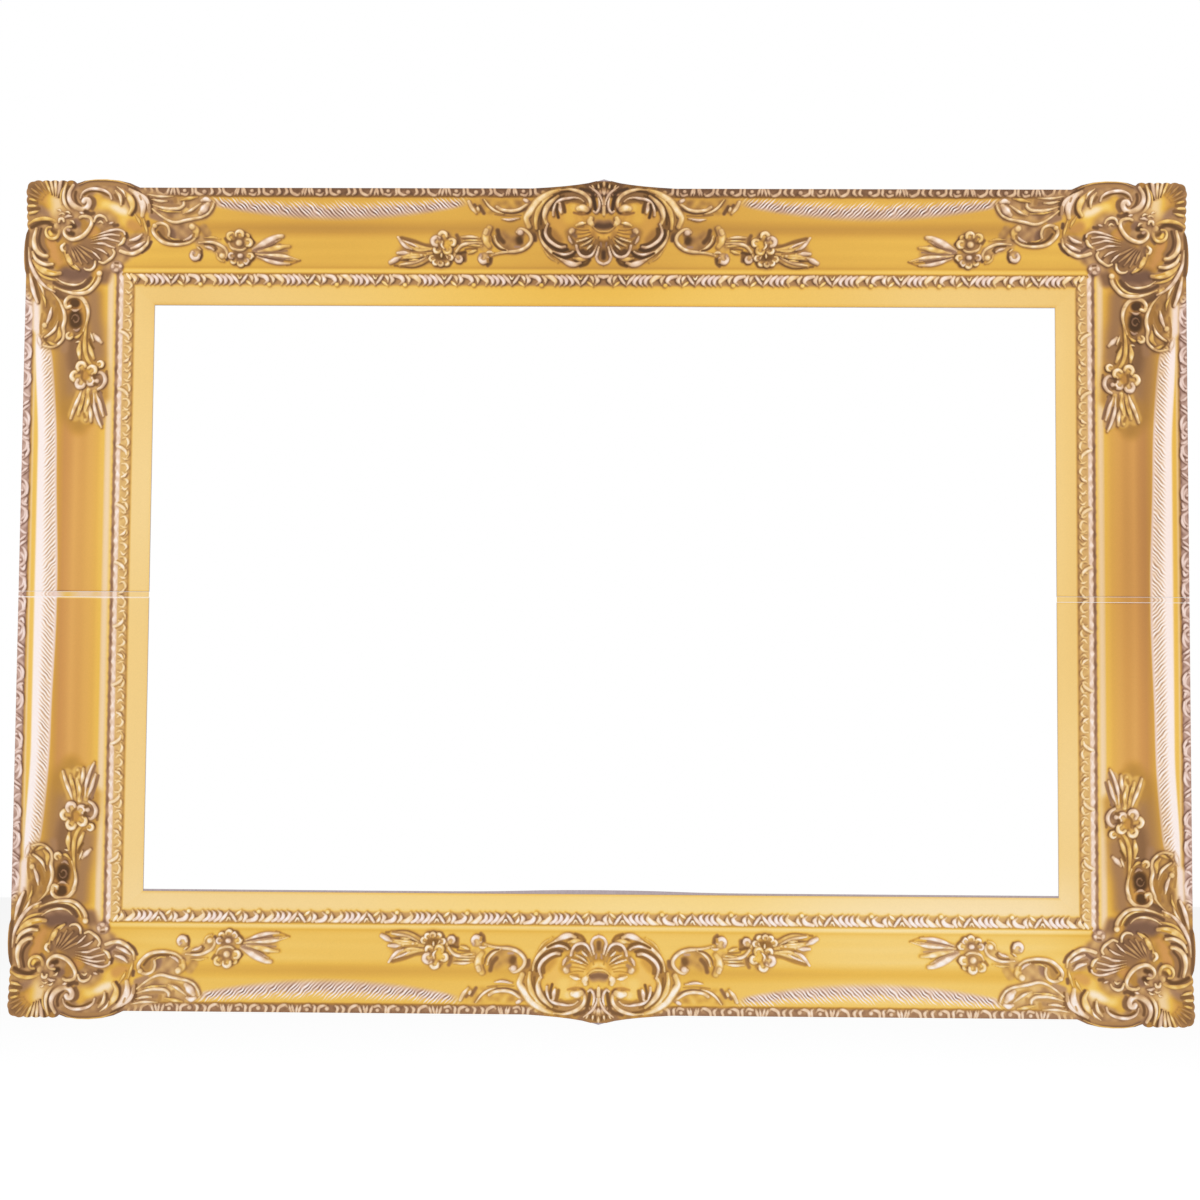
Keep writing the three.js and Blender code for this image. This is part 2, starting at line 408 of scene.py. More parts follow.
def draw_inner_bands(plate):
    """Leaf and dart beside the window on the rails, and beads with a low leaf edge on the sides."""
    x, z = plate.x, plate.z
    first_dart, last_dart, band_end = 17.2, 345, 353
    leaf_share = 0.74
    mitre_x, mitre_z = 344, 227.2
    rib_look = dict(body=0.69, shine=0.31, cast=0.75, lift=0.5)
    leaf_and_dart = (
        (5.0, 0.50, [(25, 235.2), (20.6, 234.6), (17.8, 231.6), (18.6, 228.8)]),
        (3.6, 0.90, [(17.6, 235.8), (14, 233.6), (13.6, 230.6), (15, 228.6)]),
        (3.4, 0.95, [(13.4, 235.8), (10.2, 233.4), (10, 230.4), (11.6, 228.6)]),
        (3.6, 0.90, [(9.6, 236), (6, 233.2), (5.4, 230.6), (7.4, 228.4)]),
        (2.6, 0.20, [(-5.4, 231.6), (-9.6, 228.2)]),
        (3.0, 0.60, [(-7.2, 235.8), (-9.4, 234), (-9.8, 231)]),
        (3.8, 0.75, [(-11.4, 235.8), (-13, 232.8), (-11.4, 229.6)]),
        (4.2, 0.80, [(-14, 235.8), (-19, 234.6), (-20.8, 231.8), (-18.4, 229.4)]),
        (3.0, 0.60, [(-23, 235.6), (-25.2, 233), (-24.8, 229.8)]),
        (2.8, 0.80, [(-5.8, 236), (-3.4, 232.6), (-0.6, 228.8)]),
        (3.0, 0.80, [(5.6, 236.2), (2.2, 232.4), (-0.2, 228.8)]),
        (1.8, 0.40, [(1.2, 235.8), (-0.4, 233.6), (-2.2, 235.8)]),
    )
    on_rail = (z - mitre_z) > (x - mitre_x) * 1.1
    plate.mix(on_rail * smooth_step(227.4, 230, z) * (1 - smooth_step(235.8, 236.8, z)), 0.48, 0.4)
    for k in range(8):
        dart = first_dart + band_repeat * k
        shift = dart + 0.3 * math.sin(2.3 * k)
        for width, rose, points in leaf_and_dart:
            if dart + points[0][0] < band_end:
                leaf = [(shift + u, v) for u, v in points]
                plate.rib(leaf, leaf_share * width, (0.7, 0.35), rose=rose, **rib_look)
        if dart < last_dart:
            plate.bosses(dict(rib_look, rose=0.05), (1.4, 0, 0, (shift - 22.2, 228.9)))
    plate.ribs(
        dict(rib_look, rose=0.4),
        (2.8, (0.7, 0.5), [(350.8, 236.2), (348.8, 233.6), (349.2, 231)]),
        (3.0, (0.7, 0.4), [(347.6, 236), (344.8, 233.2), (345.4, 229.8)]),
    )

    sway = 0.3 * np.sin(2 * np.pi * z / 9 + 1.4 * uneven(0 * x, z, 60))
    beads = 0.35 * np.sin(2 * np.pi * z / 5.4 + 1.2 * uneven(0 * x, z, 40))
    off_line = np.abs(x - sway - 354.9)
    dark_line = ~on_rail * bump(x - sway, 357.3, 1.1 - 0.6 * beads)
    plate.mix(0.9 * dark_line, 0.33 + 0.10 * uneven(0 * x, z, 11), 0.7)
    leaf_strip = ~on_rail * smooth_step(345.2, 345.8, x) * (1 - smooth_step(352.6, 353.6, x))
    plate.mix(leaf_strip, 0.645 + 0.04 * uneven(x, z, 7), 0.40)
    plate.mix(~on_rail * bump(x, 345.6, 0.8), 0.50, 0.2)
    vine_start, vine_step = 5, 9.7
    vine_look = dict(body=0.74, shine=0.16, rose=0.4, cast=0.42, lift=0.4)
    for k in range(24):
        turn = vine_start + vine_step * k + 0.9 * math.sin(2.1 * k)
        lean = 0.8 * math.sin(1.3 * k + 0.6)
        hook = [(351.8, turn + 3.6), (348.8, turn + 3.6 + lean), (347.2, turn + 0.6),
                (348.6, turn - 2.2 - lean)]
        barb = [(351.6, turn - 2.4), (349.4, turn - 4.2 + lean), (347.4, turn - 3.6)]
        plate.rib(hook, 1.7, (0.6, 0.6), **vine_look)
        plate.rib(barb, 1.5, (0.6, 0.5), **vine_look)
    bead_line = ~on_rail * (1 - smooth_step(0.7, 1.5, off_line - beads))
    plate.mix(bead_line, 0.83 + 0.09 * uneven(x, z, 6), 0.85)
    hook_start, hook_step = 22.5, 42.6
    hook_look = dict(body=0.76, shine=0.18, rose=0.5, cast=0.5, lift=0.5)
    for turn in hook_start + hook_step * np.arange(5):
        hook = [(355, turn + 1), (351.8, turn - 0.4), (349.2, turn - 2.6), (348.4, turn - 5)]
        barb = [(351.8, turn - 21.6), (349.6, turn - 20.6), (348, turn - 18.4)]
        plate.shade(1.5, 0.48, 0.3, [(353.4, turn + 2.2), (350.6, turn + 0.8), (348, turn - 2)])
        plate.rib(hook, 2.2, (0.9, 0.6), **hook_look)
        plate.rib(barb, 1.8, (0.7, 0.5), **hook_look)


def draw_outer_bands(plate):
    """Small leaves along the outer edge: curls over brown on the rails, slanted and pinker on the sides."""
    x, z = plate.x, plate.z
    blots = uneven(x, z, 6)
    first_leaf = 17
    curl_look = dict(body=0.57, shine=0.24, rose=0.75, cast=0.4, lift=0.5)
    curls = (
        (2.0, [(21.4, 300.6), (20.6, 297.6), (22.6, 295.8)]),
        (2.1, [(16.4, 300.8), (15.6, 298), (17.6, 295.8)]),
        (2.2, [(12.6, 300.6), (11.4, 297.4), (7.4, 295.6), (5.6, 297)]),
        (1.8, [(3, 300.6), (4.6, 295.8)]),
        (1.6, [(0.9, 300.8), (2.2, 295.6)]),
        (1.6, [(-0.7, 300.6), (-1.4, 295.8)]),
        (1.9, [(-2.6, 301), (-4.2, 296)]),
        (1.9, [(-6.4, 296.4), (-9.6, 295.8), (-11.4, 297.6)]),
        (2.0, [(-13.8, 300.6), (-14.2, 297), (-13, 295.6)]),
        (2.2, [(-16.6, 300.8), (-17.2, 297.4), (-20, 296), (-22.6, 296.2)]),
    )
    strip = smooth_step(294.9, 296, z) * (x < 392)
    plate.mix(strip, 0.32 + 0.07 * blots - 0.08 * smooth_step(298, 300.4, z) * (0.5 + blots), 0.60)
    for k in range(7):
        middle = first_leaf + band_repeat * k + 0.5 * math.sin(1.9 * k)
        for j, (width, points) in enumerate(curls):
            stray = 0.4 * math.sin(3.1 * j + 1.7 * k)
            plate.rib([(middle + stray + u, v) for u, v in points], width, (0.8, 0.5), **curl_look)
        plate.bosses(curl_look, (1.2, 0, 0, (middle - 8.4, 298.8)), (1.4, 0, 0, (middle - 23, 298)))

    strip = smooth_step(419.4, 420.4, x) * (z < 236)
    plate.mix(strip, 0.53 + 0.11 * blots - 0.14 * bump(x, 420.2, 0.7), 1.0)
    pale_look = dict(body=0.70, shine=0.22, rose=1.0, cast=0.6, lift=0.4)
    leaves = (
        (2.4, [(424.8, 3.6), (422, 6), (422, 10), (424.4, 13)]),
        (1.9, [(421, 6.8), (420.8, 11.6), (422.4, 15.6), (425, 17.6)]),
        (1.8, [(425.2, 19.4), (423.4, 21.2), (421, 22.6)]),
        (1.7, [(425.2, 22.2), (421.4, 25.2)]),
        (2.4, [(424.8, -3.2), (421.6, -6.2), (422.2, -10.2), (424.8, -12.6)]),
        (1.9, [(420.8, -7.4), (420.8, -11.6), (423, -15.4), (425.2, -17.2)]),
        (1.8, [(425.2, -19.6), (423, -21.6), (421, -22.4)]),
        (1.7, [(425.4, -14.6), (424.2, -15.4)]),
        (1.8, [(425.2, 8.4), (424, 8)]),
        (2.0, [(421.2, 3.2), (422.4, 0.4), (424.6, 1.6)]),
        (1.8, [(421, -2.6), (423, -2), (425, -0.6)]),
    )
    for k in range(5):
        middle = first_leaf + band_repeat * k + 0.6 * math.sin(2.7 * k)
        for j, (width, points) in enumerate(leaves):
            stray = 0.7 * math.sin(2.3 * j + 2.9 * k)
            plate.rib([(u, middle + stray + v) for u, v in points], width, (0.7, 0.6), **pale_look)


def draw_middle_spray(plate):
    """Spray beside the middle ornament: a leaf, a scroll with buds, two flowers and a tuft of leaves."""
    plate.shades(
        (11, 0.55, 0.1, [(90, 289), (76, 286.4), (60, 288)]),
        (13, 0.47, 0.2, [(74, 262), (67, 259.4), (62, 262)]),
        (7, 0.55, 0.2, [(104, 262), (95, 261), (88, 258)]),
        (17, 0.46, 0.2, [(117.6, 259)]),
        (13, 0.40, 0.2, [(119.4, 248)]),
        (14, 0.48, 0.2, [(144, 252.6), (136, 251.4), (128, 251.4)]),
        soft=0.5, grain=0.08,
    )
    plate.shades(
        (2.6, 0.28, 0.3, [(91.4, 287.6), (88.2, 282.4)]),
        (2.2, 0.30, 0.3, [(95.2, 288.8), (94, 287.4)]),
        (1.5, 0.38, 0.2, [(89, 292.4), (86, 288), (82, 284.8)]),
        (1.5, 0.34, 0.3, [(75, 283.4), (68, 282.4), (61.4, 283.6), (56, 286)]),
        (1.2, 0.44, 0.1, [(80, 281.4), (71, 280.4), (61, 280.8)]),
        (3.2, 0.24, 0.2, [(78, 269.6), (76.6, 264.8), (73.6, 261)]),
        (5.2, 0.20, 0.1, [(62, 263), (61.4, 261.6)]),
        (3.0, 0.58, 0.0, [(56.8, 264.6), (57.4, 261.6)]),
        (2.8, 0.26, 0.3, [(53.4, 269), (50.6, 266), (50.2, 262.4)]),
        (1.6, 0.36, 0.1, [(101.6, 255.4), (97.4, 256), (93, 256)]),
        (3.0, 0.20, 0.1, [(106.4, 252), (102, 253.2)]),
        (3.2, 0.32, 0.2, [(102.2, 251), (102, 247.4)]),
        (2.8, 0.32, 0.2, [(108, 266), (106.6, 263), (106.2, 260)]),
        (2.4, 0.30, 0.2, [(82.4, 248.6), (83, 245.4), (85, 243.4)]),
        (3.0, 0.36, 0.1, [(148.4, 263.8), (140, 261.6), (132, 258.6), (127, 258)]),
        (1.6, 0.34, 0.1, [(145, 242.8), (138, 244), (132, 246), (128, 248.8)]),
        (1.8, 0.34, 0.0, [(153.4, 243.2), (150.6, 243)]),
    )
    plate.ribs(
        dict(STRAW, cast=0.8),
        (5.4, (0.5, 0.5), [(126, 255.2), (135, 256), (142.4, 258.4), (148.8, 262)]),
        (5.2, (0.5, 0.5), [(126.6, 252.4), (136, 251.4), (145, 250), (152.4, 248.2)]),
        (4.6, (0.5, 0.5), [(127.6, 248.4), (134, 246), (141, 244.4), (149.6, 243.6)]),
    )
    plate.ribs(
        CREAM,
        (2.6, (0.9, 0.6), [(99.4, 291), (97.4, 286.8), (94, 282.6)]),
        (2.2, (0.8, 0.5), [(92.8, 286.4), (92, 284)]),
        (1.8, (0.5, 0.5), [(88, 292.6), (84, 287.4), (79.4, 284), (74, 282.2)]),
        (2.4, (0.9, 0.7), [(78.6, 287.2), (74.8, 285), (68.6, 284.2), (62.6, 285.2), (58, 288),
                           (54.6, 290.4)]),
        (2.5, (0.9, 0.6), [(63.6, 268.4), (61.2, 270.6), (57.2, 269.4), (54, 266), (53.3, 262), (56, 258),
                           (60, 255.4), (65.4, 254), (72, 253.6), (77.4, 252.6), (82, 251.2)]),
        (1.8, (0.6, 0.5), [(80.2, 265.6), (78.6, 260.6), (74.6, 256.6), (70.6, 254.8)]),
        (2.0, (0.6, 0.4), [(104.4, 264.6), (97.4, 264.8), (91, 264.2)]),
        (2.4, (0.7, 0.4), [(108.4, 253.6), (104.8, 258), (100, 259.8), (93.4, 260.4), (89.4, 260)]),
        (1.6, (0.7, 0.6), [(109.2, 252), (109.6, 249), (108, 246.2), (105.4, 245.4)]),
        (2.0, (0.6, 0.5), [(86.4, 252.6), (84, 253.6), (81, 253)]),
        (2.0, (0.7, 0.5), [(149, 244), (141.4, 245.2), (134.8, 247.2), (129.4, 250)]),
    )
    plate.ribs(
        STRAW,
        (5.6, (0.7, 0.6), [(84, 271.4), (86.4, 266), (86.2, 261), (84.2, 257.6)]),
        (1.4, (0.5, 0.4), [(103, 262), (96, 262.2), (90, 262)]),
        (1.4, (0.5, 0.4), [(99, 258.6), (94.6, 258.4), (89.6, 258)]),
        (2.0, (0.7, 0.7), [(99.4, 252.8), (96.6, 253.6), (94, 254.6)]),
        (2.0, (0.4, 0.5), [(141.4, 255.4), (134.6, 254.6), (127, 255.2)]),
        (1.8, (0.5, 0.5), [(147, 248.8), (138, 249.4), (130.6, 250.6)]),
        (1.4, (0.5, 0.5), [(143, 247), (136, 247.8)]),
    )
    plate.ribs(
        PINK,
        (2.8, (0.8, 0.8), [(58.4, 292.4), (56.4, 291.4)]),
        (1.7, (0.5, 0.6), [(75, 278.2), (69.2, 277.6), (62.4, 278.8)]),
        (2.4, (0.7, 0.5), [(151.2, 264.4), (148.6, 260.6), (145.2, 257.2), (141, 255.4)]),
        (1.5, (0.5, 0.4), [(148, 262), (141.4, 259.4), (136, 256.8)]),
        (2.8, (0.7, 0.4), [(151.4, 252.6), (147, 252.8), (143, 252.6)]),
        (3.6, (0.8, 0.4), [(156.6, 245.6), (153, 247.6), (149.4, 249.4)]),
    )
    plate.petals((86.4, 254), BLUSH, (3.8, (88, 248.8)))
    plate.petals((108.6, 252.4), BLUSH, (2.8, (106.4, 248.4)))
    plate.bosses(BLUSH, (2.0, 0, 0, (61.4, 268.2)))
    plate.bosses(BRIGHT, (1.6, 2.0, 110, (86.6, 268.6)), (1.0, 0, 0, (134, 251)))
    plate.petals((116.6, 259.4), BRIGHT, (3.6, (118.2, 265.4)), (3.0, (122, 255.2)), (3.2, (111.8, 260.6)))
    plate.petals((116.6, 259.4), STRAW, (3.4, (114.8, 255)))
    plate.petals((116.6, 259.4), BLUSH, (4.0, (122.8, 261.4)))
    plate.petals((119.2, 249.6), BRIGHT, (2.4, (125.8, 248.6)), (2.3, (123.2, 245.8)), (2.7, (115.8, 246)))
    plate.petals((119.2, 249.6), CREAM, (2.2, (119.6, 245)), (2.3, (112.8, 249.2)))
    plate.shades(
        (1.7, 0.48, 0.8, [(65, 257.4), (61.8, 257.4)]),
        (1.5, 0.26, 0.2, [(82.4, 264.8), (80.8, 260), (76.8, 256), (72, 254.8)]),
        (2.0, 0.46, -0.1, [(83.4, 264.6), (83.4, 261.6)]),
        (1.8, 0.46, 0.1, [(85.2, 248.4), (84.8, 246.2)]),
        (1.2, 0.50, 0.9, [(90.4, 252), (90.8, 250.6)]),
        (6.0, 0.66, -0.1, [(115.8, 259.4)]),
        (1.3, 0.36, 0.2, [(121.4, 260), (120.8, 255.8)]),
        (1.3, 0.42, 0.6, [(122.2, 264.2), (120.8, 262.4)]),
        (2.4, 0.38, 0.1, [(113.4, 265.2)]),
        (4.4, 0.28, 0.0, [(121.6, 250), (117, 249)]),
        (1.4, 0.28, 0.2, [(111.4, 245.4), (113.2, 243)]),
        (1.2, 0.40, 0.4, [(143, 258.8), (138.8, 257)]),
        (1.4, 0.42, 0.1, [(140, 252.8), (130.6, 252.4)]),
    )
    plate.ribs(
        CREAM,
        (1.6, (0.7, 0.7), [(118.4, 261.4), (119, 258.4), (117.4, 256)]),
        (1.6, (0.7, 0.6), [(119, 252.4), (119.2, 249.6)]),
        (1.4, (0.6, 0.6), [(115.6, 250.6), (114.4, 248.6)]),
    )


def draw_middle_ornament(plate):
    """Middle of the rail: two C-scrolls back to back round a small scallop, under a pointed crest."""
    plate.shades(
        (14, 0.42, 0.05, [(50, 275), (49, 284), (42, 292), (31, 297), (18, 297)]),
        (12, 0.37, 0.05, [(43, 268), (38, 259), (30, 252.6), (18, 249)]),
        (13, 0.64, -0.2, [(17, 279), (14, 270), (8, 266), (0, 265)]),
        (9, 0.44, 0.05, [(10, 258), (2, 258)]),
        soft=0.4, grain=0.08,
    )
    plate.shades(
        (13, 0.65, -0.25, [(34, 278), (31.6, 271), (28.4, 266)]),
        (7, 0.50, -0.2, [(37.4, 267), (33.6, 262.4)]),
        (6, 0.48, 0.1, [(25.4, 268), (23.4, 262), (19.6, 258)]),
        (9, 0.71, -0.05, [(26, 285), (25, 279)]),
        (5, 0.76, 0.1, [(22, 287)]),
        (5.4, 0.42, 0.3, [(29, 296.4), (22.4, 297), (16.6, 295.8), (13.2, 292.6)]),
        (6.4, 0.36, 0.5, [(3.6, 274), (0, 273.4)]),
        (8, 0.36, 0.2, [(6, 302.6), (0, 305)]),
        soft=0.7,
    )
    plate.ribs(
        BRIGHT,
        (5.6, (0.6, 0.4), [(55, 272.6), (57, 278.4), (55.4, 282), (52.4, 286), (48.2, 291.4),
                           (43.6, 295), (38.6, 298), (32.4, 299.8)]),
    )
    plate.ribs(
        STRAW,
        (3.6, (0.6, 0.5), [(49.6, 271), (50, 277), (49.2, 282), (47, 287), (43.4, 291.4), (38, 295.4)]),
        (3.4, (0.4, 0.6), [(22, 249), (16, 248.2), (11.8, 249)]),
    )
    plate.shades(
        (1.3, 0.46, 0.1, [(52.4, 274), (52.2, 281), (50, 286), (46, 291)]),
        (1.9, 0.24, 0.0, [(46.2, 274.6), (45.8, 282), (43.8, 288), (40, 292.6), (35.2, 296),
                          (30.2, 298.2), (24.4, 299.2)]),
        (1.6, 0.28, 0.0, [(38.8, 284.6), (38.2, 287.4), (36.4, 290.8), (33.4, 293.6), (29.6, 295.6)]),
        (2.0, 0.42, 0.1, [(27.4, 290.4), (23.2, 292.2), (18.2, 291), (13.4, 289.2)]),
        (1.8, 0.46, -0.4, [(22, 283), (17, 281.8), (12, 282.2), (9.6, 284)]),
        (2.0, 0.20, 0.1, [(44.8, 270), (44.2, 264.6), (41, 260), (36, 256.4), (30.4, 254.4),
                          (26.4, 255.6)]),
        (2.3, 0.28, 0.0, [(39.4, 271), (39.4, 266.4), (37, 263), (32.8, 260), (27.6, 258.6)]),
        (2.4, 0.28, 0.0, [(17, 243.4), (12.6, 244.8), (10.2, 247.8)]),
        (4.2, 0.26, 0.2, [(15.4, 254.4), (12.6, 252.8), (9.4, 253.8)]),
        (1.2, 0.46, -0.1, [(20.6, 270.6), (15.6, 269.8), (11, 270)]),
        (1.2, 0.46, -0.1, [(21.4, 267), (15.4, 267.2), (10, 268.4)]),
        (1.2, 0.44, -0.2, [(20.6, 263.4), (14, 264.6), (9, 266.4)]),
        (1.2, 0.42, -0.1, [(18.6, 259.4), (12.6, 262), (8, 265)]),
        (1.2, 0.42, 0.2, [(10.4, 254.6), (7.6, 259), (5.6, 263)]),
        (1.2, 0.44, 0.1, [(6.2, 257), (4.8, 261), (3.6, 265)]),
        (1.2, 0.44, 0.8, [(2, 260.6), (1.8, 257.6)]),
        (3.4, 0.24, 0.5, [(4.6, 273.6), (2.4, 273), (0, 272.8)]),
        (2.8, 0.18, 0.2, [(8.2, 296), (6.8, 290), (6.2, 284)]),
        (2.8, 0.20, 0.3, [(17, 300.6), (11.2, 299.2), (8, 297)]),
        (1.6, 0.32, 0.3, [(6.4, 298.6), (2.6, 294), (1.6, 288), (2.2, 283)]),
        (1.2, 0.20, 0.2, [(5.4, 300.8), (5.8, 303.4)]),
        (1.2, 0.20, 0.2, [(2, 302), (2.2, 305)]),
    )
    plate.ribs(
        CREAM,
        (3.8, (0.6, 0.5), [(42.2, 275), (43.4, 278.4), (43.6, 281.6), (42.4, 286), (39.8, 289.8),
                           (36.8, 292.8), (33.6, 295.4)]),
        (2.7, (0.4, 0.8), [(32.4, 299.8), (26, 300.4), (19.6, 299.2), (15, 297.2), (11.4, 294),
                           (9.9, 290.4), (10.3, 286.8), (12.6, 284.2)]),
        (2.4, (0.5, 0.5), [(47.4, 269.4), (46.4, 264), (43.4, 258.8), (38.8, 254.2), (33, 249.6),
                           (28, 247)]),
        (1.5, (0.7, 0.4), [(12, 255.8), (10.4, 257.4), (8, 259.4)]),
        (1.4, (0.7, 0.2), [(19.6, 261.4), (14, 263.2), (8.6, 265.4)]),
        (1.4, (0.7, 0.2), [(16.4, 258.2), (11.6, 260.8), (7, 264.4)]),
        (2.4, (0.6, 0.7), [(0, 294), (0.2, 287.6), (0, 281.4)]),
        (1.4, (0.7, 0.7), [(3.8, 301.4), (4.2, 304.2)]),
        (1.4, (0.7, 0.7), [(0, 302.4), (0, 306.6)]),
        (1.4, (0.7, 0.7), [(7.4, 301), (8.6, 303.2)]),
    )
    plate.ribs(
        PINK,
        (2.0, (0.8, 0.5), [(37.2, 281), (37.2, 284), (36.3, 287.4), (34.4, 290.6), (31.4, 292.6),
                           (26.6, 293.6), (22, 294.2), (17.6, 293.4), (14.8, 291.2)]),
        (2.4, (0.6, 0.8), [(41.2, 274.6), (42.8, 269.4), (42.4, 266), (40, 262.2), (35.4, 258.8),
                           (31.2, 257.2), (28.4, 257.6)]),
        (1.8, (0.6, 0.7), [(37, 254.2), (32.8, 252.6), (28.8, 251.8), (24.6, 252.6), (22.2, 254.2)]),
        (2.0, (0.9, 0.5), [(20, 258.4), (19, 254.6), (16.6, 251.2), (12.6, 250), (8.8, 251.4), (6.4, 255),
                           (4.8, 258.8)]),
        (2.0, (0.7, 1), [(3.4, 257.4), (4.4, 253.2), (5.2, 249.8), (3.6, 246.4), (0, 244.8)]),
        (2.0, (0.7, 0.6), [(25.6, 265), (24.6, 262.4), (23.2, 260.2)]),
        (1.8, (0.5, 0.8), [(4.6, 296), (3.2, 290), (3.7, 285.6), (5.8, 283), (7.4, 284)]),
        (1.8, (0.6, 0.5), [(10.6, 302.4), (7, 299.8), (3.8, 296.8), (1.6, 292.6), (1.0, 289)]),
    )
    plate.ribs(
        BLUSH,
        (2.8, (0.9, 0.6), [(32.6, 289.4), (32.4, 286.6), (31.4, 283)]),
        (4.0, (0.5, 0.5), [(31, 248.2), (26, 245.6), (21, 244.4), (17, 245.6)]),
    )
    plate.ribs(
        BRIGHT,
        (5.2, (0.8, 0.8), [(12.8, 285.4), (15.6, 286.4), (18.6, 286)]),
        (2.6, (0.6, 0.5), [(20.2, 273.4), (17, 274.8), (13.4, 275.4)]),
        (4.4, (0.6, 0.7), [(8.2, 273.6), (10, 276.4), (9.4, 278.8)]),
    )
    plate.bosses(CREAM, (2.0, 0.8, 120, (23.4, 269.2)))
    plate.ribs(
        GILT,
        (1.5, (0.4, 0.4), [(45, 257), (39.6, 249.8), (33.8, 246)]),
        (1.6, (1, 0.6), [(0, 269), (3.4, 269.2), (6.2, 270.8), (8, 273)]),
    )
    plate.shades(
        (1.2, 0.52, 0.2, [(42.8, 278.6), (42.6, 277.6)]),
        (2.2, 0.20, 0.1, [(34.2, 289), (34.6, 285), (33.4, 279.4)]),
        (2.6, 0.28, 0.1, [(30.2, 290.4), (29.2, 286.6), (28.8, 283.6)]),
        (1.8, 0.20, 0.0, [(37, 252.8), (32.8, 250.6), (28, 249.4), (23.4, 250.6), (20.6, 253.6)]),
        (1.6, 0.44, -0.2, [(18.6, 272.2), (15, 272.6)]),
        (2.6, 0.38, 0.5, [(22.4, 266.8), (20.6, 265.4)]),
        (1.8, 0.36, 0.3, [(22.4, 262.4), (21.6, 260.6)]),
        (5.6, 0.34, 0.2, [(0, 254), (0, 249.6)]),
        (2.6, 0.20, 0.2, [(0, 253.6), (0, 249.6)]),
    )


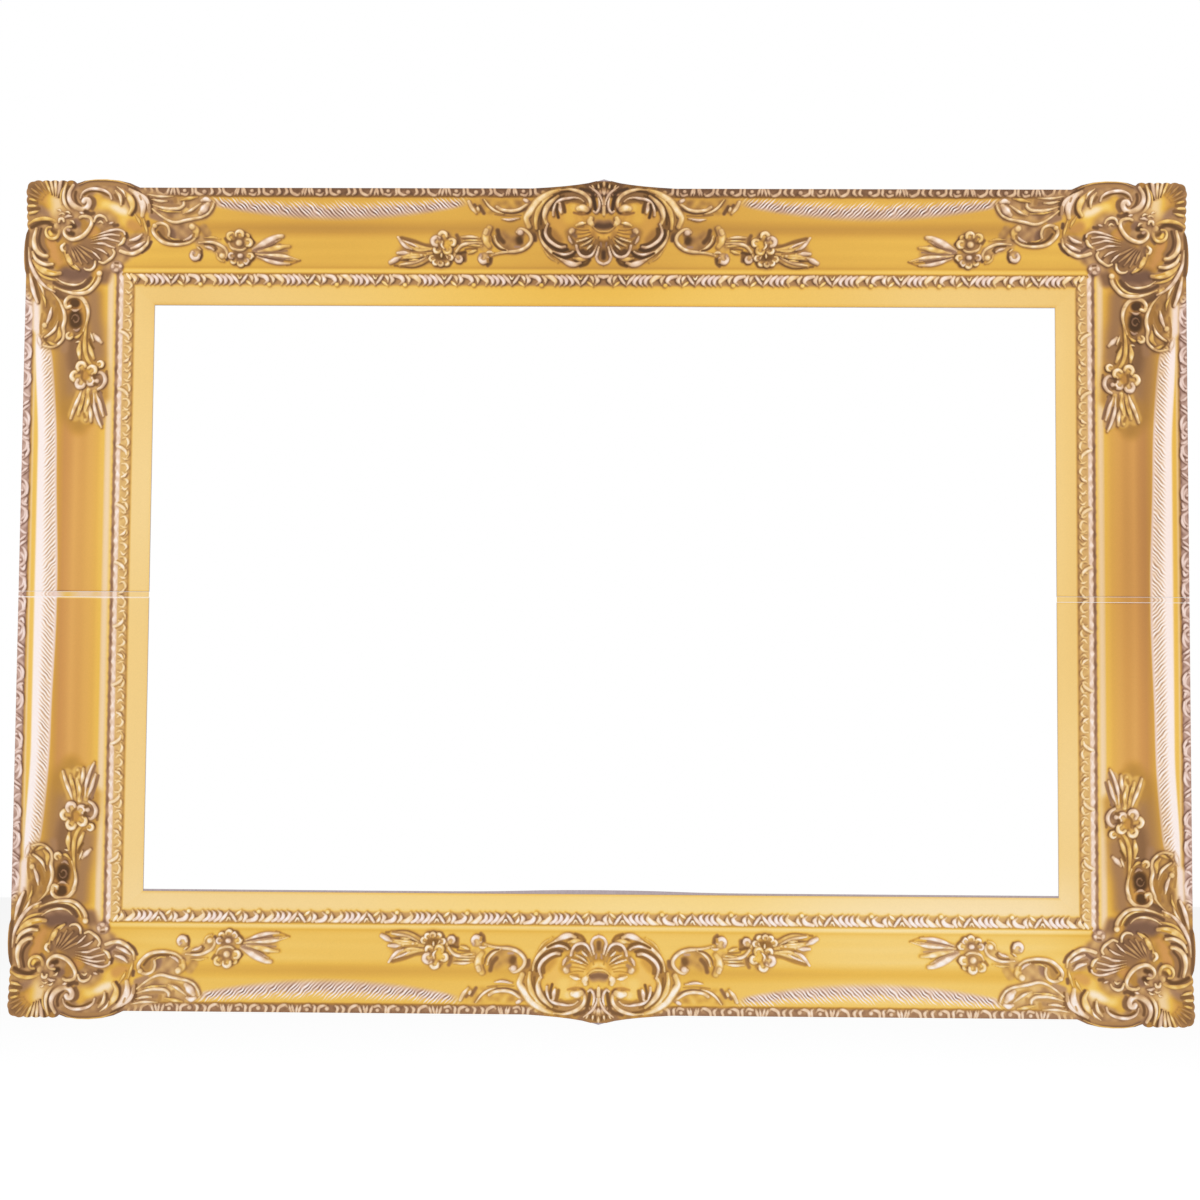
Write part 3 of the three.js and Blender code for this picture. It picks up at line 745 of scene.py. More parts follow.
def draw_rail_spray(plate):
    """Spray beside the corner: a broad leaf, a scroll with buds, two flowers and long leaves."""
    plate.shades(
        (17, 0.46, 0.45, [(338, 292), (325, 287), (310, 284.4), (297, 286)]),
        (15, 0.46, 0.45, [(316, 267.6), (308, 268)]),
        (9, 0.54, 0.35, [(297, 261.4), (288, 258), (281, 254)]),
        (6, 0.46, 0.25, [(295, 271), (292, 266.4)]),
        (9, 0.60, 0.35, [(309, 282.6), (300, 283.6), (293, 287.4)]),
        (16, 0.44, 0.25, [(268, 261)]),
        (13, 0.42, 0.35, [(267, 248.8)]),
        (12, 0.47, 0.25, [(254, 254), (246, 254), (238, 252)]),
        soft=0.45, grain=0.08,
    )
    plate.shades(
        (4.6, 0.40, 0.6, [(333, 280), (326.6, 277.6)]),
        (2.0, 0.22, 0.25, [(333.8, 292.6), (333.6, 288), (333.4, 282.4)]),
        (2.0, 0.46, 0.25, [(308, 280.2), (300.4, 282.6), (297.8, 285)]),
        (2.0, 0.46, 0.25, [(286.6, 288), (288.6, 283), (293, 278.6)]),
        (4.8, 0.30, 0.7, [(318.4, 268), (317.6, 265)]),
        (5.4, 0.38, 0.25, [(326, 269.4), (325, 266)]),
        (1.9, 0.22, 0.15, [(328.4, 268), (325, 263.8), (320, 261.2), (313.4, 260.6), (309, 261)]),
        (1.6, 0.28, 0.25, [(294, 258.8), (288, 258.4), (284.8, 255.4)]),
        (2.4, 0.28, 0.25, [(286, 254.8)]),
        (2.6, 0.24, 0.35, [(276.6, 250), (277, 247.4)]),
        (2.4, 0.26, 0.25, [(296.2, 253), (296, 250), (297.2, 247.4)]),
        (2.4, 0.28, 0.15, [(261, 264.4), (257.4, 260)]),
        (2.4, 0.32, 0.15, [(278.6, 263), (277, 260.6)]),
        (5.0, 0.50, 0.8, [(256, 254), (250, 254.6), (246, 255.6)]),
        (2.4, 0.42, 0.25, [(238.4, 258.4), (236.4, 256.6)]),
        (1.5, 0.36, 0.15, [(247, 251.2), (240, 251.6)]),
        (1.5, 0.36, 0.7, [(254, 250.2), (245.4, 248.2), (236, 246.4)]),
        (1.4, 0.46, -0.2, [(233, 243), (227, 245), (223, 246.8)]),
        (2.0, 0.30, 0.25, [(258, 252.4), (255.6, 251.6)]),
    )
    plate.ribs(
        CREAM,
        (2.2, (0.6, 0.7), [(333, 285), (326.8, 280), (320, 276), (315.4, 275), (310, 276.2),
                           (303.4, 277.6), (296.8, 279), (292, 281.4), (288.8, 285.8), (287.6, 289.4)]),
        (2.0, (0.4, 0.5), [(310.4, 281.6), (305.4, 283.6), (301.4, 286.2), (297.2, 289.4)]),
        (2.4, (0.4, 0.9), [(333, 288.2), (326.8, 286.2), (320, 285), (313.4, 285.6), (310.2, 287.6),
                           (309.6, 290)]),
        (2.0, (0.4, 0.6), [(333.6, 292.2), (326.8, 290.8), (322.4, 291)]),
        (1.8, (0.4, 0.5), [(337, 296), (328, 294.4), (318, 294.6)]),
        (2.5, (0.7, 0.6), [(320.6, 264.8), (320.2, 268.4), (322, 272.6), (326.6, 274.4), (330.6, 272.8),
                           (332.3, 268.8), (330, 264.6), (325.4, 260.6), (320, 258.8), (313.4, 258.4),
                           (306.8, 259.4), (302.8, 261.4), (300.2, 264)]),
        (2.2, (0.5, 0.7), [(298, 260), (289.4, 260.4), (284, 258.8), (279.4, 256), (277.2, 252),
                           (278, 248.8)]),
        (1.5, (0.6, 0.6), [(299.6, 256.8), (296.8, 254.8)]),
        (2.0, (0.6, 0.7), [(276, 259.6), (274, 256.2), (270, 254.6), (266, 254.6), (263.4, 256)]),
        (3.4, (0.4, 0.3), [(256, 251.6), (246.8, 250.4), (238, 250), (230.8, 249), (224, 247.2)]),
    )
    plate.ribs(
        STRAW,
        (5.0, (0.8, 0.6), [(303.4, 272.4), (300.8, 269.6), (300, 265)]),
        (1.6, (0.6, 0.6), [(284.8, 252), (284.2, 249), (282, 246.8), (279.6, 246)]),
        (4.2, (0.4, 0.5), [(254, 253.4), (245, 255.2), (237, 256.8), (231.4, 257.4)]),
    )
    plate.ribs(
        GILT,
        (1.4, (0.4, 0.4), [(329.4, 285), (321.4, 283.2), (312, 282.8)]),
        (2.4, (0.5, 0.5), [(312.4, 291.6), (306, 293), (300, 294)]),
        (1.2, (0.5, 0.5), [(320.4, 264.4), (317.4, 262.6), (312.4, 262.2)]),
        (1.6, (0.4, 0.4), [(294.4, 263.4), (288, 263.8), (282.6, 262.8)]),
        (1.6, (0.4, 0.4), [(236.4, 248), (231, 247.6), (226.4, 246.8)]),
    )
    plate.ribs(
        PINK,
        (1.8, (0.5, 0.6), [(309.4, 261.6), (305.4, 263.4), (302.8, 266)]),
        (1.8, (0.5, 0.7), [(293.4, 257), (289.4, 256), (287.2, 254.6)]),
        (1.8, (0.4, 0.5), [(253.4, 255.6), (245.4, 258.8), (238.2, 262.4)]),
        (2.6, (0.4, 0.5), [(254.6, 249.4), (246.8, 246.6), (239, 244.8), (231, 244.4)]),
    )
    plate.ribs(
        BLUSH,
        (5.2, (0.6, 0.6), [(297.6, 282), (294.8, 285.2), (292, 288.8)]),
        (3.4, (0.6, 0.6), [(296.6, 291.4), (293.4, 292.4), (290.6, 291.4)]),
        (4.6, (0.3, 0.6), [(258.4, 255.2), (252, 258.6), (246, 261.8), (240.6, 264.4), (236.8, 265)]),
    )
    plate.petals((298.4, 256), BLUSH, (3.8, (300.6, 250.8)))
    plate.bosses(
        BRIGHT,
        (1.6, 0, 0, (331, 272.4)), (2.0, 0.6, 40, (303.4, 271.8)), (2.0, 0, 0, (280.8, 250.2)),
    )
    plate.petals((268.4, 259.8), STRAW, (3.4, (274.2, 264.6)), (2.6, (263.4, 264.2)))
    plate.petals((268.4, 259.8), BRIGHT, (3.4, (268.2, 266)), (3.2, (261.8, 260)))
    plate.petals((267.4, 250), BRIGHT, (2.5, (272, 246.6)), (2.6, (267, 244.8)), (2.8, (260.4, 249.6)))
    plate.petals((267.4, 250), PINK, (2.4, (273.8, 250.2)), (2.3, (262.8, 246)))
    plate.shades(
        (2.6, 0.40, 0.35, [(307.4, 289.4), (306.6, 286.8)]),
        (2.8, 0.42, 0.25, [(316.4, 293), (316, 290.4)]),
        (1.4, 0.42, 0.35, [(328.6, 288.4), (320, 287.6), (313.6, 287.8)]),
        (1.8, 0.42, 0.15, [(301.8, 266.4), (302.4, 264.8)]),
        (2.2, 0.40, 0.25, [(279.8, 252.8)]),
        (1.2, 0.52, 0.9, [(302.4, 252.2), (301, 252)]),
        (1.2, 0.34, 0.25, [(297.8, 256.8), (295.4, 254.4)]),
        (1.2, 0.40, 0.25, [(272.8, 263.6), (273.4, 266.4)]),
        (1.1, 0.40, 0.25, [(269.6, 264.4), (269.8, 266.8)]),
        (8.0, 0.34, 0.35, [(268.3, 259.8)]),
        (7.2, 0.32, 0.4, [(267.4, 249.4)]),
        (1.6, 0.22, 0.15, [(261.4, 243.8), (257.6, 248.4)]),
        (1.8, 0.34, 0.35, [(271.4, 253.4)]),
        (1.2, 0.48, 0.8, [(248, 258.4), (242, 261.6)]),
        (1.2, 0.38, 0.6, [(256, 254), (249.6, 256.6), (242.4, 260.4)]),
        (1.1, 0.40, 0.6, [(252, 252.2), (242, 253.2), (233, 254)]),
        (1.1, 0.44, 0.7, [(250, 250.2), (241, 249), (231, 247.8)]),
    )
    plate.bosses(CREAM, (2.3, 0, 0, (268.4, 259.8)))
    plate.bosses(PINK, (1.6, 0.8, 0, (267.4, 250.2)))


def draw_side_spray(plate):
    """Spray on the side: long leaves, a scroll round two dark holes, two flowers and a tuft."""
    plate.shades(
        (22, 0.40, 0.35, [(392, 190), (391, 170), (389, 152), (386, 138)]),
        (12, 0.46, 0.0, [(388, 140), (384, 124)]),
        (9, 0.50, 0.1, [(371, 180), (368, 166), (366.4, 146)]),
        soft=0.9,
    )
    plate.shades(
        (19, 0.44, 0.2, [(420, 234), (411, 219), (405, 204), (404, 190)]),
        (15, 0.42, 0.4, [(380, 160.6)]),
        (11, 0.40, 0.5, [(369.4, 157)]),
        (19, 0.45, 0.2, [(378.4, 147), (377.4, 135)]),
        soft=0.5, grain=0.08,
    )
    plate.shades(
        (13, 0.40, 0.4, [(375.6, 220), (374.6, 204), (372.6, 192), (372.4, 178)]),
        (9, 0.30, 0.4, [(390, 186), (389.4, 176), (388, 168)]),
        (5, 0.40, 0.5, [(395, 187), (396, 180)]),
        (6, 0.88, 0.9, [(417.4, 214), (416.8, 196)]),
        soft=0.9,
    )
    plate.shades(
        (10, 0.60, 0.2, [(381, 150), (384.4, 140), (387.2, 132)]),
        (10, 0.63, 0.2, [(377.6, 150), (378.2, 138), (378.6, 130)]),
        (9, 0.60, 0.4, [(373.4, 149), (371.4, 138), (369, 128)]),
        soft=0.25,
    )
    plate.ribs(
        dict(STRAW, cast=0.5),
        (4.6, (0.6, 0.5), [(380.6, 150), (382.4, 142), (384.6, 132)]),
        (5.6, (0.6, 0.5), [(377.4, 150), (377.8, 139), (379, 128)]),
        (5.8, (0.6, 0.5), [(372.8, 149), (371, 137), (368.2, 124.6)]),
    )
    plate.shades(
        (6.0, 0.22, 0.4, [(402, 222), (397, 219.6)]),
        (2.3, 0.28, 0.2, [(419.4, 233.6), (417.4, 225.4), (415.4, 218.6), (415.6, 214.8)]),
        (1.6, 0.42, 0.3, [(422.2, 226), (422, 223)]),
        (2.6, 0.42, 0.0, [(402, 215), (400.2, 208.8), (399.6, 202)]),
        (2.8, 0.36, 0.1, [(409.6, 216), (408.2, 211), (409, 208)]),
        (2.8, 0.40, 0.0, [(402.4, 210), (403.6, 204.6), (406, 198)]),
        (2.0, 0.44, 0.2, [(412.8, 206.4), (413.8, 198), (413.4, 192)]),
        (2.4, 0.28, 0.2, [(411, 188.4), (408, 184.8), (404.6, 183.4)]),
        (6.8, 0.13, 0.1, [(389.4, 215.2), (388.4, 214.4)]),
        (10.2, 0.11, 0.1, [(388.4, 204.8), (388, 200.6)]),
        (2.8, 0.24, 0.2, [(385, 171.6), (383, 171)]),
        (1.9, 0.28, 0.0, [(377.4, 187.6), (375.6, 183), (374.4, 181)]),
        (2.0, 0.34, 0.2, [(364.4, 164), (364, 160)]),
        (2.2, 0.28, 0.2, [(370, 149), (368, 148)]),
        (2.0, 0.36, 0.6, [(368.8, 148.4), (365.6, 138.4), (364, 132)]),
        (1.6, 0.36, 0.6, [(371.4, 140), (368.2, 129.6), (366.6, 125)]),
        soft=0.4,
    )
    plate.ribs(
        CREAM,
        (2.2, (0.4, 0.5), [(420.2, 239.6), (416.8, 232), (413.4, 225.6), (411.4, 218)]),
        (2.7, (0.4, 0.6), [(407, 223.8), (401.4, 217.4), (398.6, 212.6), (396.6, 207.4), (396.2, 202),
                           (397.2, 196.6), (396.8, 191.4), (397.6, 187.2), (401.4, 183.4), (406, 181.8),
                           (411.4, 182.8)]),
        (2.2, (0.4, 0.7), [(401.2, 201), (403.4, 195.2), (407.2, 191.4), (410.4, 189.2)]),
        (2.9, (0.9, 0.5), [(392.4, 212), (395, 211.6), (396, 215.4), (393.4, 218.8), (389.4, 220),
                           (384.8, 218.8), (381.4, 215.4), (379.4, 210.8), (379, 204.8), (380.2, 199.4),
                           (382, 194)]),
        (1.3, (0.5, 0.5), [(387.6, 185.4), (384.6, 186.2)]),
        (1.6, (0.4, 0.6), [(377, 193), (375.6, 189.6), (374.6, 186.6)]),
        (2.8, (0.4, 0.7), [(382, 151.4), (384.4, 144.6), (388, 135.6), (390, 129.2)]),
        (2.8, (0.3, 0.7), [(376.6, 140), (375.4, 132.8), (375.2, 127)]),
    )
    plate.ribs(
        STRAW,
        (4.4, (0.6, 0.5), [(408.6, 227.4), (406.2, 224.6)]),
        (3.4, (0.5, 0.5), [(384.4, 185.4), (385.2, 179.6), (384.4, 173.2)]),
        (3.2, (0.4, 0.6), [(378.4, 185), (376.4, 179), (374, 173.4)]),
        (2.4, (0.4, 0.5), [(377.4, 149), (377.4, 142), (378.8, 135.4)]),
    )
    plate.ribs(
        GILT,
        (2.0, (0.5, 0.5), [(408.4, 186.2), (405, 184.2), (402.6, 184)]),
        (1.6, (0.4, 0.4), [(413.6, 222), (411.2, 216.6), (410.6, 212)]),
        (3.4, (0.5, 0.5), [(400, 196), (400, 190), (402.6, 186.4)]),
        (2.0, (0.5, 0.5), [(390, 189.2), (386.6, 189.4), (383.6, 192)]),
        (2.9, (0.4, 0.7), [(379.4, 201), (380.6, 192), (381, 185.4), (380.4, 178), (378.6, 172.6),
                           (375.2, 168.2), (371.6, 166.8), (369, 168)]),
        (1.5, (0.4, 0.5), [(380, 147), (382, 139), (383, 135)]),
    )
    plate.ribs(
        dict(PINK, body=0.42, shine=0.22),
        (1.8, (0.6, 0.5), [(391.6, 210), (388.6, 209), (385, 210.4)]),
        (1.8, (0.6, 0.5), [(389.4, 195), (387, 194.2), (384.6, 196.2)]),
        (2.4, (0.7, 0.7), [(387.4, 166.4), (385.8, 166.4)]),
    )
    plate.ribs(
        PINK,
        (2.8, (0.6, 0.7), [(372, 162.4), (368.8, 163.2), (366, 160.6), (365.4, 156.6), (367.4, 152.8),
                           (370.4, 150.8)]),
    )
    plate.ribs(
        BLUSH,
        (2.8, (0.5, 0.7), [(422.6, 236), (421, 228), (418.8, 220.4), (416.6, 215)]),
        (2.4, (0.5, 0.6), [(406.2, 211), (407.4, 204.8), (409.4, 199.4)]),
        (2.6, (0.6, 0.5), [(415.6, 190.6), (414.4, 186), (413.4, 182)]),
        (3.2, (0.5, 0.6), [(374.6, 191.6), (372, 188.6), (368.8, 185.4)]),
        (2.3, (0.3, 0.6), [(373.4, 148), (372.8, 138), (370.2, 128.8), (367.4, 122.6)]),
        (2.3, (0.4, 0.6), [(371.6, 147.4), (368.8, 140), (366.2, 131)]),
    )
    plate.bosses(BRIGHT, (1.6, 0.6, 60, (411, 198)))
    plate.petals((388, 194), BRIGHT, (2.8, (392.2, 190.4)))
    plate.petals((374, 167.6), BRIGHT, (2.8, (369.4, 169.2)))
    plate.petals((380, 161.4), BRIGHT, (4.3, (386.8, 160.4)), (4.0, (383, 167.2)), (3.8, (375.4, 164.8)))
    plate.petals((380, 161.4), BLUSH, (4.0, (383.4, 155.2)), (3.4, (376.2, 156.8)))
    plate.bosses(BLUSH, (1.5, 0, 0, (371.4, 156.8)))
    hole_rim = [(391, 203), (390.2, 205), (388.4, 205.8), (386.6, 205), (385.8, 203), (386.6, 201),
                (388.4, 200.4), (389.6, 201.8)]
    plate.rib(hole_rim, 1.3, (0.5, 0.8), body=0.24, shine=0.12, rose=0.6, cast=0)
    plate.shades(
        (1.8, 0.42, 0.0, [(412.4, 226.6), (411.6, 225.4)]),
        (5.0, 0.50, -0.4, [(379.8, 162.2), (379.8, 160.4)]),
        (1.7, 0.34, 0.1, [(382.2, 164), (382.4, 158.8), (379.8, 156)]),
        (2.2, 0.22, 0.2, [(373.6, 161), (373.2, 159)]),
        (2.2, 0.26, 0.2, [(373, 154.8), (371.4, 154)]),
        (1.6, 0.40, 0.0, [(375, 146), (374.6, 141)]),
        (2.2, 0.42, 0.1, [(380.4, 132.4), (379.4, 130)]),
    )


def draw_corner_fan(plate):
    """Fan at the tip of the corner: a soft glow round one heart, with pale rays and dark grooves."""
    heart = (404.5, 287)
    rim = 20

    def ray(bearing, start, end):
        turn = math.radians(bearing)
        out, up = math.cos(turn), math.sin(turn)
        return [(heart[0] + reach * out, heart[1] + reach * up) for reach in (start, end)]

    plate.shade(30, 0.43, 0.45, [(411, 294), (416, 292)], soft=0.4, grain=0.08)
    plate.shades(
        (8, 0.26, 0.35, [(420.6, 300), (419.4, 289)]),
        (19, 0.55, -0.5, [(410, 290.4), (408, 287)]),
        (8, 0.38, 0.6, [(416, 284), (411, 280.6)]),
        (9, 0.60, 0.5, [(402.6, 280.4), (397.6, 277.2), (392.8, 274)]),
        (12, 0.77, 0.5, [(403.6, 291.6), (402.8, 286)]),
        soft=0.9,
    )
    for bearing, start, width, tone in (
        (106, 7, 1.8, 0.22), (93, 8, 1.5, 0.28), (82, 8, 1.4, 0.32), (72, 9, 1.4, 0.34),
        (8, 14, 1.6, 0.30), (-9, 13, 1.6, 0.28),
    ):
        plate.shade(width, tone, 0.2, ray(bearing, start, rim + 0.5))
    for bearing, start, width, look in (
        (99, 7, 2.8, PINK), (88, 7, 2.4, CREAM), (77, 8, 2.1, CREAM), (67, 10, 1.8, STRAW),
        (15, 15, 1.8, GILT), (0, 14, 2.2, STRAW), (-16, 13, 2.2, STRAW),
    ):
        plate.rib(ray(bearing, start, rim), width, (0.3, 0.9), **look)
    for bearing in (57, 46, 35, 25):
        plate.rib(ray(bearing, 12, rim + 2.5), 1.6, (0.2, 0.8), body=0.38, shine=0.12, rose=0.3, cast=0.6)
    plate.shade(2.4, 0.26, 0.2, [(422, 284.4), (417, 285)])


def draw_corner_volutes(plate):
    """Two acanthus volutes that leave the fan, one down the side edge and one along the rail edge."""
    plate.shades(
        (22, 0.44, 0.45, [(414, 268), (412, 254), (404, 240), (390, 231)]),
        (16, 0.44, 0.45, [(392, 292), (376, 296), (358, 294), (345, 290)]),
        soft=0.4, grain=0.08,
    )
    plate.shades(
        (10, 0.54, -0.8, [(408, 259), (405, 252), (400, 246), (397, 241)]),
        (11, 0.24, 0.8, [(396, 237), (389, 236), (382, 237)]),
        (9, 0.32, 0.5, [(368, 233), (366, 238)]),
        (7, 0.62, -0.1, [(374, 292.6), (369, 288)]),
        (9, 0.78, 0.0, [(367, 287), (361, 284)]),
        (9, 0.88, 0.45, [(360.4, 284), (355, 282.4)]),
        (8, 0.70, -0.1, [(366, 281), (360, 278), (353, 276)]),
        (7, 0.54, -0.6, [(348.6, 273.6), (343, 270)]),
        soft=0.7,
    )
    plate.shades(
        (2.8, 0.18, 0.2, [(422, 271), (417, 273.6), (411, 274.6), (406.4, 272.6)]),
        (2.4, 0.30, 0.35, [(400.2, 270), (400.4, 264.5), (402.6, 261)]),
        (5.4, 0.36, 0.35, [(414, 268), (414.6, 262), (413, 256), (411, 253)]),
        (1.9, 0.18, 0.35, [(415, 270), (416.4, 263), (415.2, 257), (411.6, 252.4)]),
        (3.0, 0.24, 0.35, [(425, 268), (425.4, 252), (424.4, 238)]),
        (2.8, 0.22, 0.0, [(406.8, 268.4), (404.6, 267.4)]),
        (2.6, 0.78, 0.0, [(409, 267.4), (408, 266)]),
        (1.9, 0.20, 0.35, [(421.4, 255), (418.6, 250.6), (414.6, 247.4), (410.4, 246.6)]),
        (1.8, 0.22, 0.2, [(420.6, 248), (417, 243.6), (412, 241.2), (406, 241)]),
        (1.7, 0.24, 0.2, [(419.6, 242.6), (414.6, 237.6), (408.4, 234.8), (401.6, 234.2)]),
        (2.6, 0.20, 0.45, [(404.6, 229.6), (398, 226.6), (390.6, 225.6), (384.2, 226.6), (380, 229.6),
                          (377.6, 233.4)]),
        (2.2, 0.22, 0.2, [(395, 301.5), (397, 296.5), (397, 292.5), (395, 287.5), (391, 283.5)]),
        (2.2, 0.20, 0.35, [(390, 297.5), (390.5, 294), (389, 289.5), (386.5, 287)]),
        (2.8, 0.28, 0.35, [(380, 294), (376.5, 292), (376, 288.5), (377.5, 285)]),
        (1.7, 0.28, 0.0, [(383.5, 295.5), (379, 298), (373, 298), (366, 295)]),
        (3.2, 0.42, 0.35, [(386, 300), (380.5, 303.2), (373, 304), (363, 303.8), (355.5, 303),
                           (350, 301.6)]),
        (2.0, 0.30, 0.2, [(361, 295.5), (359, 292.5)]),
        (2.0, 0.30, 0.2, [(354, 292.4), (354.6, 289)]),
        (2.2, 0.20, 0.2, [(348, 294.5), (345.5, 289), (345.5, 284), (348, 280.5)]),
        (2.2, 0.20, 0.35, [(351, 302.5), (345.5, 299.5), (342, 296.5)]),
        (2.0, 0.24, 0.35, [(336, 294), (334.6, 289)]),
        (2.4, 0.22, 0.35, [(336, 275.4), (335.6, 272.6)]),
    )
    plate.ribs(
        GILT,
        (3.0, (0.6, 0.6), [(424.2, 273.4), (419.6, 276.4), (413, 277.6), (407, 276.8), (403.6, 275)]),
        (2.0, (0.5, 0.5), [(419, 240.6), (413.6, 235), (407.4, 232.4), (402, 231.6)]),
        (1.8, (0.5, 0.4), [(346, 281), (343, 276.5), (341.5, 273)]),
        (1.8, (0.4, 0.5), [(340, 279), (338.5, 274), (337, 269), (336.5, 265)]),
        (1.6, (0.4, 0.4), [(388, 303), (380, 306.2), (371, 307), (362, 306.4), (354, 304.4),
                           (347, 301.4)]),
        (1.3, (0.4, 0.4), [(398, 303), (400.6, 298), (401.2, 293), (400.4, 288.6)]),
    )
    plate.ribs(
        STRAW,
        (2.3, (0.9, 0.7), [(403, 273.6), (402, 270), (401.8, 266.4), (403.8, 263.4), (407.6, 262.6),
                           (410.6, 264.6), (411.6, 268), (410.4, 270.8), (407.8, 271.2)]),
        (4.6, (0.5, 0.6), [(420.4, 246), (416.6, 241.4), (411, 238), (405, 236.6), (400.4, 236.8)]),
        (1.7, (0.5, 0.5), [(391, 223.6), (384, 224.2), (379.4, 226.8), (376.2, 230.4), (374.6, 234)]),
        (4.7, (0.4, 0.5), [(355.5, 299.5), (351, 294.5), (348.5, 290), (348, 285.5), (350, 281.5)]),
    )
    plate.ribs(
        CREAM,
        (3.5, (0.6, 0.7), [(418.6, 270), (420.2, 263), (419.6, 256.6), (417, 252.4), (413.2, 250),
                           (410.2, 249.6)]),
        (2.9, (0.6, 0.7), [(421, 252.6), (418.6, 247.4), (414.6, 244.4), (410, 243.2), (406.2, 243.6)]),
        (1.7, (0.5, 0.5), [(403, 233), (398.4, 230), (393, 228.4), (388, 228.2), (384, 229.6),
                           (381, 232.4)]),
        (2.8, (0.4, 1), [(404, 226.4), (396, 223.2), (387.6, 221.8), (380, 222.8), (374.6, 227.4),
                         (371.4, 232.6), (371.2, 237.4)]),
        (2.5, (0.6, 0.5), [(397, 304), (398.5, 299), (399, 294), (398, 289), (395, 284.5), (391, 281)]),
        (2.5, (0.6, 0.6), [(360.5, 298.5), (357.5, 295), (356.5, 291.5), (356.5, 288)]),
        (1.6, (0.5, 0.5), [(359.5, 301.5), (355, 298), (353, 294)]),
    )
    plate.ribs(
        PINK,
        (2.7, (0.4, 0.5), [(424, 256), (423.2, 247), (420.6, 239.4), (416.4, 232.4), (410.6, 226.6),
                           (404, 223)]),
        (2.3, (0.5, 0.6), [(386.5, 293), (385.5, 296), (383, 298.5), (378, 300), (372, 299.5),
                           (367.5, 298), (364.5, 295.5), (363.5, 292.5)]),
    )
    plate.ribs(
        BLUSH,
        (3.7, (0.6, 0.9), [(392, 302.5), (394.5, 298), (395, 293.5), (393, 289), (389.5, 286),
                           (385.5, 284.5), (382, 285.5), (380, 288.5), (380.5, 291.5), (383, 292),
                           (384, 290.5)]),
    )
    plate.ribs(
        dict(PINK, body=0.70, shine=0.26),
        (5.2, (0.4, 0.5), [(350, 299.5), (346, 297), (342.8, 294), (340.6, 290), (340, 285),
                           (340.6, 280)]),
        (2.6, (0.4, 0.6), [(344, 297.6), (339.4, 294), (336.6, 290), (335.8, 285)]),
    )
    plate.bosses(BRIGHT, (2.0, 0.4, 60, (403.4, 272)), (2.0, 0, 0, (371.4, 236.8)))
    plate.shades(
        (1.4, 0.56, 0.0, [(409.6, 238.6), (403.4, 237.4)]),
        (2.0, 0.50, 0.6, [(335.4, 288), (335.4, 283)]),
        (1.5, 0.48, 0.6, [(342.4, 294.6), (341.4, 292)]),
    )


